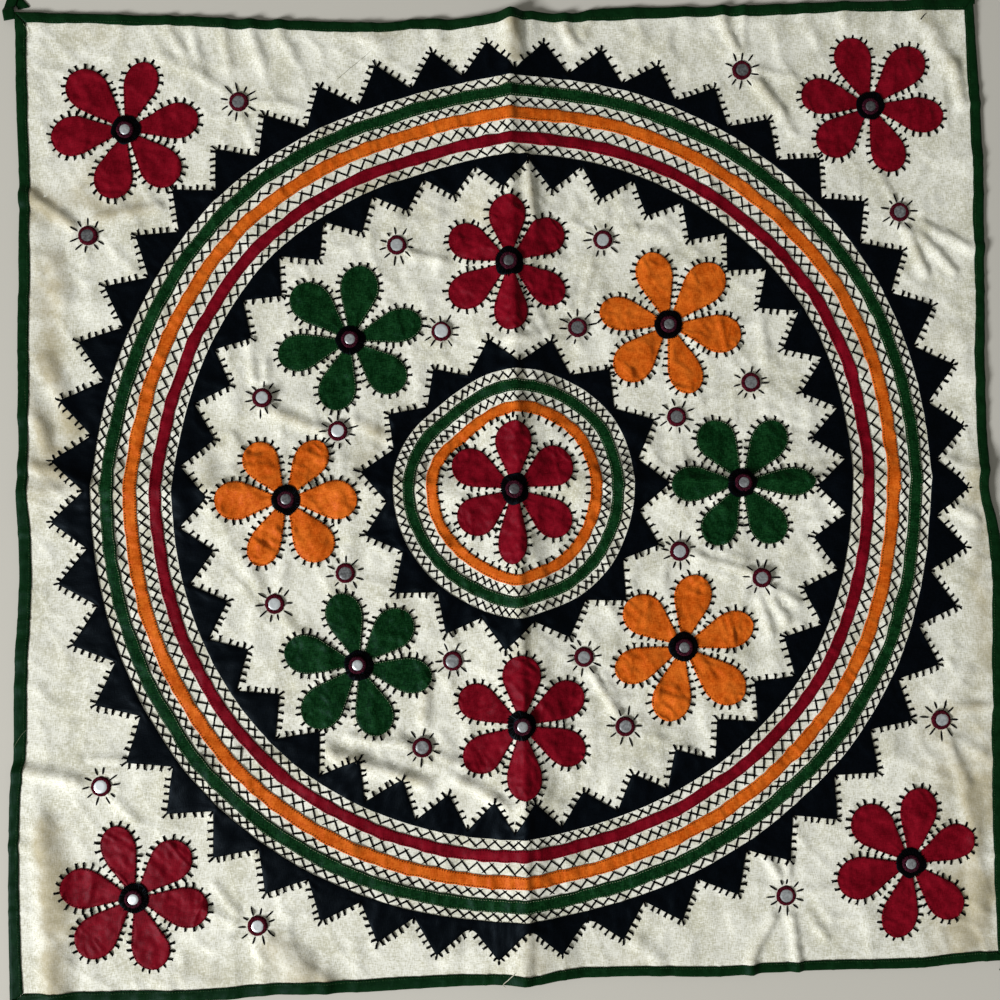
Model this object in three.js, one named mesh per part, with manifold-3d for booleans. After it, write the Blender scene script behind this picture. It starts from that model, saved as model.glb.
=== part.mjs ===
// A square cotton hanging of applique and mirror work, laid out flat, in millimetres, +Z up.
// A cream ground cloth is bound with green tape and carries saw-tooth rings, sewn tapes and
// flowers with a black centre and a small mirror. Every sewn piece follows the ground's folds.

import * as THREE from 'three';
import { mergeVertices } from 'three/addons/utils/BufferGeometryUtils.js';
import Module from 'manifold-3d';

const wasm = await Module();
wasm.setup();

// ---------------------------------------------------------------- driving sizes, mm

const HALF = 457; // half the finished side, a 36 inch square
const GROUND_THICK = 1.2;
const PATCH_THICK = 1.0; // a sewn-on piece with its turned-under edge
const GAP = 0.3; // between touching pieces
const BINDING_WIDE = 10.5;
const BINDING_THICK = 1.0;
const RIM_WIDE = 13; // the edge that the binding keeps straight, and lifts
const RIM_RUN = 30; // width over which the ground comes down inside it
const LOOP_LONG = 38;
const LOOP_WIDE = 11;
const LOOP_THICK = 0.9;

const COLOURS = {
  cream: { color: 0xe6e3d3, roughness: 0.95 },
  black: { color: 0x0c0e16, roughness: 0.9 },
  green: { color: 0x123a1c, roughness: 0.85 },
  orange: { color: 0xe06c1a, roughness: 0.85 },
  red: { color: 0x8e1226, roughness: 0.85 },
  glass: { color: 0xb9bcc0, roughness: 0.15, metalness: 0.9 },
};

// The four outer edges, pulled out of square by wear. at: place along the side; out: edge.
const EDGE_LEFT = [
  { at: -457, out: -469 },
  { at: -390, out: -470 },
  { at: -300, out: -469 },
  { at: -268, out: -467.8 },
  { at: -240, out: -465 },
  { at: -180, out: -464 },
  { at: -120, out: -461 },
  { at: -75, out: -458.4 },
  { at: -30, out: -459 },
  { at: 5, out: -459 },
  { at: 35, out: -458 },
  { at: 90, out: -457.8 },
  { at: 150, out: -458.8 },
  { at: 210, out: -457 },
  { at: 290, out: -456 },
  { at: 360, out: -458 },
  { at: 457, out: -459 },
];
const EDGE_RIGHT = [
  { at: -457, out: 446.5 },
  { at: -300, out: 447.5 },
  { at: -240, out: 450 },
  { at: -190, out: 453.5 },
  { at: -120, out: 456.5 },
  { at: -75, out: 457.5 },
  { at: -40, out: 454.5 },
  { at: -5, out: 445.5 },
  { at: 30, out: 447.2 },
  { at: 110, out: 447.5 },
  { at: 160, out: 450 },
  { at: 220, out: 451.8 },
  { at: 275, out: 453.7 },
  { at: 340, out: 454 },
  { at: 400, out: 452.8 },
  { at: 457, out: 450 },
];
const EDGE_TOP = [
  { at: -457, out: 460 },
  { at: -400, out: 458.3 },
  { at: -345, out: 456 },
  { at: -295, out: 454.6 },
  { at: -255, out: 451.5 },
  { at: -180, out: 449 },
  { at: -140, out: 447 },
  { at: -118, out: 446 },
  { at: -85, out: 449.5 },
  { at: -40, out: 449.2 },
  { at: 0, out: 453.2 },
  { at: 25, out: 454.3 },
  { at: 60, out: 453 },
  { at: 88, out: 457.5 },
  { at: 150, out: 459 },
  { at: 215, out: 458.8 },
  { at: 270, out: 461.2 },
  { at: 340, out: 462.4 },
  { at: 400, out: 463.5 },
  { at: 457, out: 464.5 },
];
const EDGE_BOTTOM = [
  { at: -457, out: -455 },
  { at: -395, out: -456.5 },
  { at: -320, out: -456.3 },
  { at: -270, out: -456.8 },
  { at: -235, out: -454 },
  { at: -150, out: -454.4 },
  { at: -95, out: -453 },
  { at: -40, out: -451.6 },
  { at: 0, out: -451.8 },
  { at: 28, out: -449.2 },
  { at: 80, out: -448.4 },
  { at: 125, out: -449 },
  { at: 178, out: -451.5 },
  { at: 215, out: -449.6 },
  { at: 300, out: -449.1 },
  { at: 360, out: -449.8 },
  { at: 420, out: -446 },
  { at: 457, out: -445.5 },
];

// Standing creases: a line from (x1, y1) to (x2, y2), its height, and how far its two flanks
// spread to the left and right of the line's direction. fade: length of each tapering end.
const CREASES = [
  { x1: 1, y1: -480, x2: 1, y2: 480, high: 8, left: 63, right: 53, fade: 1 },
  { x1: -480, y1: 8, x2: 480, y2: 8, high: 5, left: 48, right: 48, fade: 1 },
  { x1: -480, y1: -252, x2: 480, y2: -252, high: 2.6, left: 42, right: 44, fade: 1 },
  { x1: -432, y1: -285, x2: -432, y2: -480, high: 4.5, left: 26, right: 20, fade: 40 },
  { x1: 372, y1: 480, x2: 424, y2: 360, high: 3.5, left: 24, right: 30, fade: 25 },
  { x1: -238, y1: -398, x2: -170, y2: -470, high: 4, left: 26, right: 28, fade: 30 },
];

// Lines of the cloth grid: the rim, the crests of the creases, and the feet of their flanks.
const GRID_X = [RIM_WIDE - HALF, -432, -395, -300, -180, -62, 1, 54, 180, 300, 395, HALF - RIM_WIDE];
const GRID_Y = [
  RIM_WIDE - HALF, -400, -296, -252, -210, -125, -40, 8, 56, 180, 300, 395, HALF - RIM_WIDE,
];
const TRUE_HALF = 395; // inside this the cloth lies square, and outside it follows the edges

// Tapes and saw-tooth rings are sewn round one middle point, at x = 0, y = 0.
const TAPES = [
  { name: 'tape_green', colour: 'green', radius: 380, wide: 11.4, sides: 36 },
  { name: 'tape_orange', colour: 'orange', radius: 358.5, wide: 11.5, sides: 36 },
  { name: 'tape_red', colour: 'red', radius: 335, wide: 10.4, sides: 36 },
  { name: 'tape_centre_green', colour: 'green', radius: 98.3, wide: 10, sides: 24 },
  { name: 'tape_centre_orange', colour: 'orange', radius: 77.5, wide: 9.6, sides: 24 },
];

// band: the plain edge; valley and tip: the zigzag edge; turn: angle of the first tip.
// drift: how far the teeth stray from even spacing, degrees, and from the tip radius, mm.
const SAWTEETH = [
  {
    name: 'sawtooth_outer', teeth: 47, band: 394.3, valley: 400.5, tip: 428, turn: 7.1,
    drift: [
      { at: 0, turn: -0.2, reach: -1 },
      { at: 25, turn: 0.4, reach: 7 },
      { at: 45, turn: 1, reach: 2.5 },
      { at: 62, turn: 1.8, reach: 1 },
      { at: 86, turn: 1.3, reach: -1 },
      { at: 105, turn: 0.2, reach: -4 },
      { at: 120, turn: 0.4, reach: -2 },
      { at: 135, turn: 0.1, reach: 0 },
      { at: 150, turn: -0.4, reach: 0 },
      { at: 168, turn: -0.5, reach: 2 },
      { at: 185, turn: -0.8, reach: 1.5 },
      { at: 205, turn: -0.6, reach: 5 },
      { at: 225, turn: -0.1, reach: 8 },
      { at: 242, turn: -0.2, reach: 5 },
      { at: 262, turn: -0.9, reach: 4 },
      { at: 285, turn: -0.6, reach: -3 },
      { at: 300, turn: -0.5, reach: -1.5 },
      { at: 320, turn: -0.2, reach: -0.5 },
      { at: 340, turn: 0.1, reach: 1 },
      { at: 360, turn: -0.2, reach: -1 },
    ],
  },
  {
    name: 'sawtooth_inner', teeth: 38, band: 319.8, valley: 314.5, tip: 286, turn: -1.7,
    drift: [
      { at: 0, turn: 1.7, reach: -3 },
      { at: 15, turn: 0.8, reach: -1 },
      { at: 30, turn: -0.1, reach: 1 },
      { at: 45, turn: -0.7, reach: 4 },
      { at: 60, turn: -1.2, reach: 3 },
      { at: 95, turn: -2, reach: 0 },
      { at: 120, turn: -2.2, reach: -3.5 },
      { at: 137, turn: -1.8, reach: -1 },
      { at: 150, turn: -1.3, reach: -1.5 },
      { at: 163, turn: -0.8, reach: -3.5 },
      { at: 178, turn: 1.5, reach: -0.5 },
      { at: 195, turn: 2.2, reach: -1.7 },
      { at: 210, turn: 2.7, reach: 1 },
      { at: 226, turn: 3.8, reach: -0.5 },
      { at: 240, turn: 2.9, reach: -2 },
      { at: 264, turn: 1.1, reach: 0.5 },
      { at: 276, turn: -1.2, reach: 0 },
      { at: 288, turn: -0.8, reach: -3 },
      { at: 300, turn: -1, reach: -5 },
      { at: 315, turn: -0.5, reach: -2.5 },
      { at: 330, turn: 0.5, reach: -0.5 },
      { at: 345, turn: 1.1, reach: -2.5 },
      { at: 360, turn: 1.7, reach: -3 },
    ],
  },
  {
    name: 'sawtooth_centre', teeth: 15, band: 113.5, valley: 120, tip: 143, turn: 3,
    drift: [{ at: 0, turn: 0, reach: 0 }, { at: 360, turn: 0, reach: 0 }],
  },
];

// Hand-cut flowers. tips: directions of the six petals in degrees; long: middle to petal tip.
const FLOWERS = [
  {
    at: 'top_left', colour: 'red', x: -357, y: 347,
    tips: [10, 72, 132, 186, 255, 312], long: [68.5, 67, 73, 69.5, 67, 68],
  },
  {
    at: 'top_right', colour: 'red', x: 347, y: 361,
    tips: [47, 109, 168, 223, 291, 349], long: [73, 68.5, 67, 65, 67, 71],
  },
  {
    at: 'bottom_left', colour: 'red', x: -356.5, y: -363,
    tips: [44, 107, 167, 224, 288, 348], long: [66.5, 67.5, 67, 69, 67.5, 68.5],
  },
  {
    at: 'bottom_right', colour: 'red', x: 359.5, y: -353.5,
    tips: [23, 79, 134, 194, 257, 312], long: [64, 70, 70, 71, 70, 65.5],
  },
  {
    at: 'north', colour: 'red', x: -1, y: 215,
    tips: [35, 92, 152, 214, 271, 326], long: [61.5, 63.5, 62.5, 65.5, 64, 61],
  },
  {
    at: 'south', colour: 'red', x: 0, y: -215.5,
    tips: [28, 88, 151, 216, 273, 332], long: [65.5, 64, 63.5, 63.5, 68.5, 66],
  },
  {
    at: 'middle', colour: 'red', x: -1, y: 2.5,
    tips: [29, 91, 153, 216, 267, 322], long: [60.5, 63, 63.5, 61.5, 70, 64],
  },
  {
    at: 'north_west', colour: 'green', x: -151, y: 145,
    tips: [17, 78, 134, 193, 254, 316], long: [69, 71, 71.5, 69, 67.5, 66],
  },
  {
    at: 'east', colour: 'green', x: 211.5, y: 3.5,
    tips: [1, 54, 117, 179, 242, 303], long: [69, 68.5, 65.5, 66, 64, 65.5],
  },
  {
    at: 'south_west', colour: 'green', x: -148.5, y: -157.5,
    tips: [45, 105, 166, 227, 287, 347], long: [66.5, 69, 70, 71.5, 67, 68.5],
  },
  {
    at: 'north_east', colour: 'orange', x: 148, y: 154.5,
    tips: [47, 104, 166, 225, 288, 348], long: [74, 70.5, 66.5, 68.5, 68.5, 69.5],
  },
  {
    at: 'west', colour: 'orange', x: -212.5, y: -3,
    tips: [58, 123, 179, 242, 302, 359], long: [63, 61.5, 66, 66.5, 66, 65.5],
  },
  {
    at: 'south_east', colour: 'orange', x: 153, y: -148,
    tips: [17, 78, 139, 200, 256, 316], long: [69.5, 68, 67, 68, 70.5, 73],
  },
];
const PETAL_HALF = 17.2; // widest half width of a petal
const NECK_HALF = 3.4; // half width where the petal runs under the black centre
const HUB_RADIUS = 9; // petals are one cloth up to here
const CENTRE_RADIUS = 13.5;
const CENTRE_SIDES = 10;
const MIRROR_RADIUS = 7.2;
const MIRROR_THICK = 1.0;
const MIRROR_SIDES = 8;

// ------------------------------------------------------------------ the lie of the cloth

// One column of a table at a value of its column "at", in straight runs between the rows.
function between(table, column, at) {
  const last = table.length - 1;
  const next = table.findIndex((row) => row.at >= at);
  const high = next < 0 ? last : Math.max(next, 1);
  const a = table[high - 1];
  const b = table[high];
  const share = THREE.MathUtils.clamp((at - a.at) / (b.at - a.at), 0, 1);
  return THREE.MathUtils.lerp(a[column], b[column], share);
}

// Plan position of a point u, v of the flat square, both from -HALF to HALF.
function place(u, v) {
  const pull = (at) => Math.max(Math.abs(at) - TRUE_HALF, 0) / (HALF - TRUE_HALF);
  const side = between(u < 0 ? EDGE_LEFT : EDGE_RIGHT, 'out', v) - Math.sign(u) * HALF;
  const end = between(v < 0 ? EDGE_BOTTOM : EDGE_TOP, 'out', u) - Math.sign(v) * HALF;
  return [u + side * pull(u), v + end * pull(v)];
}

// Height of one crease over a point: a sharp top with straight flanks.
function creaseHeight(crease, x, y) {
  const dx = crease.x2 - crease.x1;
  const dy = crease.y2 - crease.y1;
  const long = Math.hypot(dx, dy);
  const along = ((x - crease.x1) * dx + (y - crease.y1) * dy) / long;
  const side = ((y - crease.y1) * dx - (x - crease.x1) * dy) / long;
  const spread = side > 0 ? crease.left : crease.right;
  const flank = Math.max(1 - Math.abs(side) / spread, 0);
  const past = Math.max(-along, along - long, 0);
  const end = Math.max(1 - past / (crease.fade + spread), 0);
  return crease.high * flank * end;
}

// Where two creases cross, the higher one runs through.
function relief(x, y) {
  return Math.max(...CREASES.map((crease) => creaseHeight(crease, x, y)));
}

// Height of the folds under a point of the square. The binding keeps its rim straight.
function foldHeight(u, v) {
  const limit = HALF - RIM_WIDE;
  const [x, y] = place(THREE.MathUtils.clamp(u, -limit, limit), THREE.MathUtils.clamp(v, -limit, limit));
  return relief(x, y);
}

// The ground is lifted by the binding's lower leg and comes down to the surface inside it.
function rimLift(u, v) {
  const inside = HALF - Math.max(Math.abs(u), Math.abs(v));
  const share = 1 - (inside - RIM_WIDE) / RIM_RUN;
  return (BINDING_THICK + GAP) * Math.min(Math.max(share, 0), 1);
}

// ------------------------------------------------------------------------- mesh helpers

function meshOf(name, geometry, colour) {
  const bare = geometry.toNonIndexed();
  bare.computeVertexNormals();
  const mesh = new THREE.Mesh(bare, new THREE.MeshStandardMaterial(COLOURS[colour]));
  mesh.name = name;
  return mesh;
}

function indexed(points, triangles) {
  const geometry = new THREE.BufferGeometry();
  geometry.setAttribute('position', new THREE.Float32BufferAttribute(points.flat(), 3));
  geometry.setIndex(triangles.flat());
  return geometry;
}

// A closed skin over a grid of rings: each ring is a closed section, the two ends are capped.
function loft(rings, cap) {
  const size = rings[0].length;
  const triangles = [];
  for (let i = 0; i < rings.length - 1; i += 1) {
    for (let j = 0; j < size; j += 1) {
      const a = i * size + j;
      const b = i * size + ((j + 1) % size);
      triangles.push([a, a + size, b + size], [a, b + size, b]);
    }
  }
  const far = (rings.length - 1) * size;
  for (const [a, b, c] of cap) {
    triangles.push([a, b, c], [far + a, far + c, far + b]);
  }
  return indexed(rings.flat(), triangles);
}

// A sheet on the cloth grid between two heights above the ground's underside.
function sheet(linesX, linesY, low, high) {
  const nx = linesX.length;
  const ny = linesY.length;
  const points = [];
  for (const level of [low, high]) {
    for (const v of linesY) {
      for (const u of linesX) {
        const [x, y] = place(u, v);
        points.push([x, y, foldHeight(u, v) + rimLift(u, v) + level]);
      }
    }
  }
  const top = nx * ny;
  const triangles = [];
  for (let j = 0; j < ny - 1; j += 1) {
    for (let i = 0; i < nx - 1; i += 1) {
      const a = j * nx + i;
      const b = a + 1;
      const c = a + nx + 1;
      const d = a + nx;
      triangles.push([a, c, b], [a, d, c]);
      triangles.push([top + a, top + b, top + c], [top + a, top + c, top + d]);
    }
  }
  const wall = (a, b) => triangles.push([a, b, top + b], [a, top + b, top + a]);
  for (let i = 0; i < nx - 1; i += 1) {
    wall(i, i + 1);
    wall((ny - 1) * nx + i + 1, (ny - 1) * nx + i);
  }
  for (let j = 0; j < ny - 1; j += 1) {
    wall((j + 1) * nx, j * nx);
    wall(j * nx + nx - 1, (j + 1) * nx + nx - 1);
  }
  return indexed(points, triangles);
}

function solidOf(geometry) {
  const bare = geometry.clone();
  bare.deleteAttribute('normal');
  bare.deleteAttribute('uv');
  const merged = mergeVertices(bare, 1e-4);
  const mesh = new wasm.Mesh({
    numProp: 3,
    vertProperties: new Float32Array(merged.attributes.position.array),
    triVerts: new Uint32Array(merged.index.array),
  });
  return new wasm.Manifold(mesh);
}

function geometryOf(solid) {
  const { vertProperties, triVerts } = solid.getMesh();
  const geometry = new THREE.BufferGeometry();
  geometry.setAttribute('position', new THREE.BufferAttribute(vertProperties, 3));
  geometry.setIndex(new THREE.BufferAttribute(triVerts, 1));
  return geometry;
}

// An upright cutter with the outline of a flat piece.
function cutter(outline, hole) {
  const shape = new THREE.Shape(outline);
  if (hole) {
    shape.holes.push(new THREE.Path(hole));
  }
  const geometry = new THREE.ExtrudeGeometry(shape, { depth: 60, bevelEnabled: false });
  geometry.translate(0, 0, -10);
  return solidOf(geometry);
}

function circlePoints(x, y, radius, sides, turn = 0) {
  return Array.from({ length: sides }, (_, k) => {
    const angle = turn + (k * 2 * Math.PI) / sides;
    return new THREE.Vector2(x + radius * Math.cos(angle), y + radius * Math.sin(angle));
  });
}

// The layer in which pieces of one level lie: 0 on the ground, 1 on top of a flower.
function layerOf(level) {
  const low = GROUND_THICK + GAP + level * (PATCH_THICK + GAP);
  return solidOf(sheet(GRID_X, GRID_Y, low, low + PATCH_THICK));
}

// ------------------------------------------------------------------------------- pieces

const pieces = [];
const groundLayer = layerOf(0);
const centreLayer = layerOf(1);

// Ground cloth, with its raw edge inside the binding.
function makeGround() {
  const rim = HALF - BINDING_THICK - GAP;
  const linesX = [-rim, ...GRID_X, rim];
  const linesY = [-rim, ...GRID_Y, rim];
  return meshOf('ground_cloth', sheet(linesX, linesY, 0, GROUND_THICK), 'cream');
}

// Binding: tape folded round the edge, a U section carried along one side and mitred at its
// ends. side: the table of the edge; toPlan: from a place along it and a depth to u, v.
function makeBinding(name, lines, toPlan) {
  const height = 2 * BINDING_THICK + 2 * GAP + GROUND_THICK;
  const upper = height - BINDING_THICK;
  const section = [
    [0, 0], [BINDING_WIDE, 0], [BINDING_WIDE, BINDING_THICK], [BINDING_THICK, BINDING_THICK],
    [BINDING_THICK, upper], [BINDING_WIDE, upper], [BINDING_WIDE, height], [0, height],
  ];
  const cap = [[0, 1, 2], [0, 2, 3], [0, 3, 7], [3, 4, 7], [4, 5, 7], [5, 6, 7]];
  const stations = [-HALF, ...lines, HALF];
  const rings = stations.map((station) => section.map(([depth, rise]) => {
    const limit = HALF - depth - GAP / 2;
    const along = Math.min(Math.max(station, -limit), limit);
    const [u, v] = toPlan(along, depth);
    const [x, y] = place(u, v);
    return [x, y, foldHeight(u, v) + rise];
  }));
  return meshOf(name, loft(rings, cap), 'green');
}

// Hanging loop: tape doubled back on itself at its tip. Its upper run is sewn on the corner,
// and its lower run ends beside the binding. The two runs come together away from the corner.
function makeLoop({ name, x, y, turn, wide }) {
  const seat = 2 * BINDING_THICK + 2 * GAP + GROUND_THICK + GAP;
  const over = LOOP_THICK + GAP;
  const profile = [
    [-8, seat], [1.5, seat], [6, over], [LOOP_LONG - 0.9, over], [LOOP_LONG - 0.9, LOOP_THICK],
    [2.5, LOOP_THICK], [2.5, 0], [LOOP_LONG, 0], [LOOP_LONG, over + LOOP_THICK],
    [6.5, over + LOOP_THICK], [2, seat + LOOP_THICK], [-8, seat + LOOP_THICK],
  ].map(([along, rise]) => new THREE.Vector2(along, rise));
  const tape = new THREE.ExtrudeGeometry(new THREE.Shape(profile), { depth: 30, bevelEnabled: false });
  tape.translate(0, 0, -15);
  tape.rotateX(Math.PI / 2);
  const taper = [
    [-9, -wide / 2], [4, -wide / 2], [15, -LOOP_WIDE / 2], [LOOP_LONG + 1, -LOOP_WIDE / 2],
    [LOOP_LONG + 1, LOOP_WIDE / 2], [15, LOOP_WIDE / 2], [4, wide / 2], [-9, wide / 2],
  ].map(([along, side]) => new THREE.Vector2(along, side));
  const mesh = meshOf(name, geometryOf(solidOf(tape).intersect(cutter(taper))), 'green');
  mesh.rotation.z = THREE.MathUtils.degToRad(turn);
  mesh.position.set(x, y, 0);
  return mesh;
}

// A ring of tape, sewn flat along both of its edges.
function makeTape({ name, colour, radius, wide, sides }) {
  const outline = circlePoints(0, 0, radius + wide / 2, sides);
  const hole = circlePoints(0, 0, radius - wide / 2, sides);
  return meshOf(name, geometryOf(groundLayer.intersect(cutter(outline, hole))), colour);
}

// A black ring cut into teeth along one edge; the other edge is a plain circle.
function makeSawtooth({ name, teeth, band, valley, tip, turn, drift }) {
  const zigzag = Array.from({ length: teeth * 2 }, (_, k) => {
    const even = turn + (k * 180) / teeth;
    const angle = even + between(drift, 'turn', (even + 360) % 360);
    const radius = k % 2 ? valley : tip + between(drift, 'reach', (even + 360) % 360);
    return new THREE.Vector2(radius, 0).rotateAround(new THREE.Vector2(), THREE.MathUtils.degToRad(angle));
  });
  const plain = circlePoints(0, 0, band, teeth);
  const solid = tip > band ? cutter(zigzag, plain) : cutter(plain, zigzag);
  return meshOf(name, geometryOf(groundLayer.intersect(solid)), 'black');
}

// One petal, pointed at the flower's middle and round at its tip.
function petalOutline(x, y, long, angle) {
  const half = [[5, NECK_HALF], [0.56 * long, 0.88 * PETAL_HALF], [0.84 * long, 0.95 * PETAL_HALF]];
  const mirrored = half.map(([along, side]) => [along, -side]);
  const middle = new THREE.Vector2();
  return [...mirrored, [long, 0], ...half.reverse()].map(([along, side]) => (
    new THREE.Vector2(along, side).rotateAround(middle, angle).add(new THREE.Vector2(x, y))
  ));
}

function makeFlower({ at, colour, x, y, long, tips }) {
  const hub = cutter(circlePoints(x, y, HUB_RADIUS, 6));
  const star = tips.reduce((sum, tip, k) => (
    sum.add(cutter(petalOutline(x, y, long[k], THREE.MathUtils.degToRad(tip))))
  ), hub);
  return meshOf(`flower_${colour}_${at}`, geometryOf(groundLayer.intersect(star)), colour);
}

function makeCentre({ at, x, y }) {
  const disc = cutter(circlePoints(x, y, CENTRE_RADIUS, CENTRE_SIDES));
  return meshOf(`centre_${at}`, geometryOf(centreLayer.intersect(disc)), 'black');
}

// The mirror is stiff, so it lies flat on the highest place of the black centre under it.
function makeMirror({ at, x, y }) {
  const under = geometryOf(centreLayer.intersect(cutter(circlePoints(x, y, MIRROR_RADIUS, MIRROR_SIDES))));
  under.computeBoundingBox();
  const glass = new THREE.CylinderGeometry(MIRROR_RADIUS, MIRROR_RADIUS, MIRROR_THICK, MIRROR_SIDES);
  glass.rotateX(Math.PI / 2);
  const mesh = meshOf(`mirror_${at}`, glass, 'glass');
  mesh.position.set(x, y, under.boundingBox.max.z + GAP + MIRROR_THICK / 2);
  return mesh;
}

// Grid lines met in the other direction, for the two sides that run back.
function turned(lines) {
  return lines.map((line) => -line).reverse();
}

pieces.push(makeGround());
pieces.push(makeBinding('binding_left', GRID_Y, (along, depth) => [-HALF + depth, along]));
pieces.push(makeBinding('binding_right', turned(GRID_Y), (along, depth) => [HALF - depth, -along]));
pieces.push(makeBinding('binding_bottom', turned(GRID_X), (along, depth) => [-along, -HALF + depth]));
pieces.push(makeBinding('binding_top', GRID_X, (along, depth) => [along, HALF - depth]));

const LOOPS = [
  { name: 'loop_top_left', x: -458, y: 461, turn: 100, wide: 24 },
  { name: 'loop_top_right', x: 451, y: 466, turn: 86, wide: 20 },
  { name: 'loop_bottom_left', x: -468, y: -457, turn: 250, wide: 20 },
  { name: 'loop_bottom_right', x: 446, y: -448, turn: 300, wide: 18 },
];
LOOPS.forEach((loop) => pieces.push(makeLoop(loop)));
SAWTEETH.forEach((ring) => pieces.push(makeSawtooth(ring)));
TAPES.forEach((tape) => pieces.push(makeTape(tape)));
FLOWERS.forEach((flower) => pieces.push(makeFlower(flower)));
FLOWERS.forEach((flower) => pieces.push(makeCentre(flower)));
FLOWERS.forEach((flower) => pieces.push(makeMirror(flower)));

// The origin is the middle of the box's base, where the hanging lies on the surface.
const group = new THREE.Group();
group.name = 'applique_hanging';
group.add(...pieces);
const box = new THREE.Box3().setFromObject(group, true);
const middle = box.getCenter(new THREE.Vector3());
group.position.set(-middle.x, -middle.y, -box.min.z);

export default group;
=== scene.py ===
# A square cotton hanging of applique and mirror work, laid out face up on a pale floor.
# Each section makes one piece, or one group of like pieces, in the order of sewing.
# Plan sizes are in mm from the middle of the rings; meshes are in metres.

import bmesh
import bpy
import numpy as np
from mathutils import Euler, Matrix, Vector


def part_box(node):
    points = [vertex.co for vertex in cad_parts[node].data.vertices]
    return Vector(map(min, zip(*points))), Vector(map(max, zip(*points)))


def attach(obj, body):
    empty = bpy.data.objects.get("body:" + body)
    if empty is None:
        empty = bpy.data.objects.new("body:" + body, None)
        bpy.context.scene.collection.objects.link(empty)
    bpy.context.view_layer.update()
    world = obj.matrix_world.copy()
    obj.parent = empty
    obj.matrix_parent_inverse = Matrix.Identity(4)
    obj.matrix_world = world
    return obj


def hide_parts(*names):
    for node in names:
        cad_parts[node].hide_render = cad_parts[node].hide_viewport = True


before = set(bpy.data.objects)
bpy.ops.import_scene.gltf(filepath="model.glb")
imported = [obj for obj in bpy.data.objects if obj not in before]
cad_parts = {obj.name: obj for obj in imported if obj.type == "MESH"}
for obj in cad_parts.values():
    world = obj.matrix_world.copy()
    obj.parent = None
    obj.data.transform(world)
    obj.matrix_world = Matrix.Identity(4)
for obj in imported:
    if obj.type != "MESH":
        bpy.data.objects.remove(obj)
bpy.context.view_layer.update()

# ----------------------------------------------------------------- the cream ground cloth
# One square of unbleached plain-weave cotton, 914 mm (36 inches) a side, laid face up on the
# floor. It was kept folded, so two standing creases cross near its middle and a third crosses
# its lower part. Every sewn spot pulls smaller folds into it.

MM = 0.001
SIDE_HALF = 457.0
CLOTH_THICK = 1.2
TRUE_HALF = 395.0  # inside this the cloth lies square; outside it follows the worn edges
BINDING_THICK = 1.0
SEAM_GAP = 0.3  # between two cloths sewn together
RIM_WIDE = 14.0  # the border that the binding keeps straight
RIM_RUN = 30.0  # width over which the cloth comes down inside it
FLOOR_GAP = 0.2  # how far flat cloth stands off the floor

rings_low, rings_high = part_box("tape_green")
MIDDLE_X = (rings_low[0] + rings_high[0]) / 2
MIDDLE_Y = (rings_low[1] + rings_high[1]) / 2

# The four worn edges. at: place along the side. out: where the edge lies across it. wide: how
# wide the binding shows there.
EDGE = np.dtype([("at", float), ("out", float), ("wide", float)])
LEFT_EDGE = np.array([
    (-457, -469, 10.5), (-390, -470, 8.8), (-300, -469, 8.2), (-268, -467.8, 8.8),
    (-240, -465, 10), (-180, -464, 10.8), (-120, -461, 11.2), (-75, -458.4, 11),
    (-30, -459, 11.5), (5, -459, 9.5), (35, -458, 9.3), (90, -457.8, 9.8), (150, -458.8, 10.5),
    (210, -457, 10.6), (290, -456, 10.5), (360, -458, 10.4), (457, -459, 10.5)], EDGE)
RIGHT_EDGE = np.array([
    (-457, 446.5, 10.5), (-300, 447.5, 11.3), (-240, 450, 12.3), (-190, 453.5, 11.5),
    (-120, 456.5, 11.5), (-75, 457.5, 12), (-40, 454.5, 11.5), (-5, 445.5, 12),
    (30, 447.2, 12.2), (110, 447.5, 11.8), (160, 450, 11), (220, 451.8, 10.8),
    (275, 453.7, 11.6), (340, 454, 11.6), (400, 452.8, 11.6), (457, 450, 10.5)], EDGE)
TOP_EDGE = np.array([
    (-457, 460, 10.5), (-400, 458.3, 10), (-345, 456, 9.8), (-295, 454.6, 11),
    (-255, 451.5, 10.8), (-180, 449, 11.8), (-140, 447, 11.5), (-118, 446, 11.5),
    (-85, 449.5, 12), (-40, 449.2, 11.8), (0, 453.2, 11), (25, 454.3, 9.4), (60, 453, 9.6),
    (88, 457.5, 11.5), (150, 459, 11.5), (215, 458.8, 9.8), (270, 461.2, 11), (340, 462.4, 9.4),
    (400, 463.5, 10.2), (457, 464.5, 10.5)], EDGE)
BOTTOM_EDGE = np.array([
    (-457, -455, 10.5), (-395, -456.5, 11.2), (-320, -456.3, 10), (-270, -456.8, 11.5),
    (-235, -454, 11.4), (-150, -454.4, 12.2), (-95, -453, 12.6), (-40, -451.6, 11.2),
    (-8, -451.2, 10.4), (5, -451.4, 9.4), (28, -449.2, 11.4), (80, -448.4, 10.9), (125, -449, 10.6),
    (178, -451.5, 10.8), (215, -449.6, 10.8), (300, -449.1, 10.8), (360, -449.8, 10.4),
    (420, -446, 11.6), (457, -445.5, 10.5)], EDGE)

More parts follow.
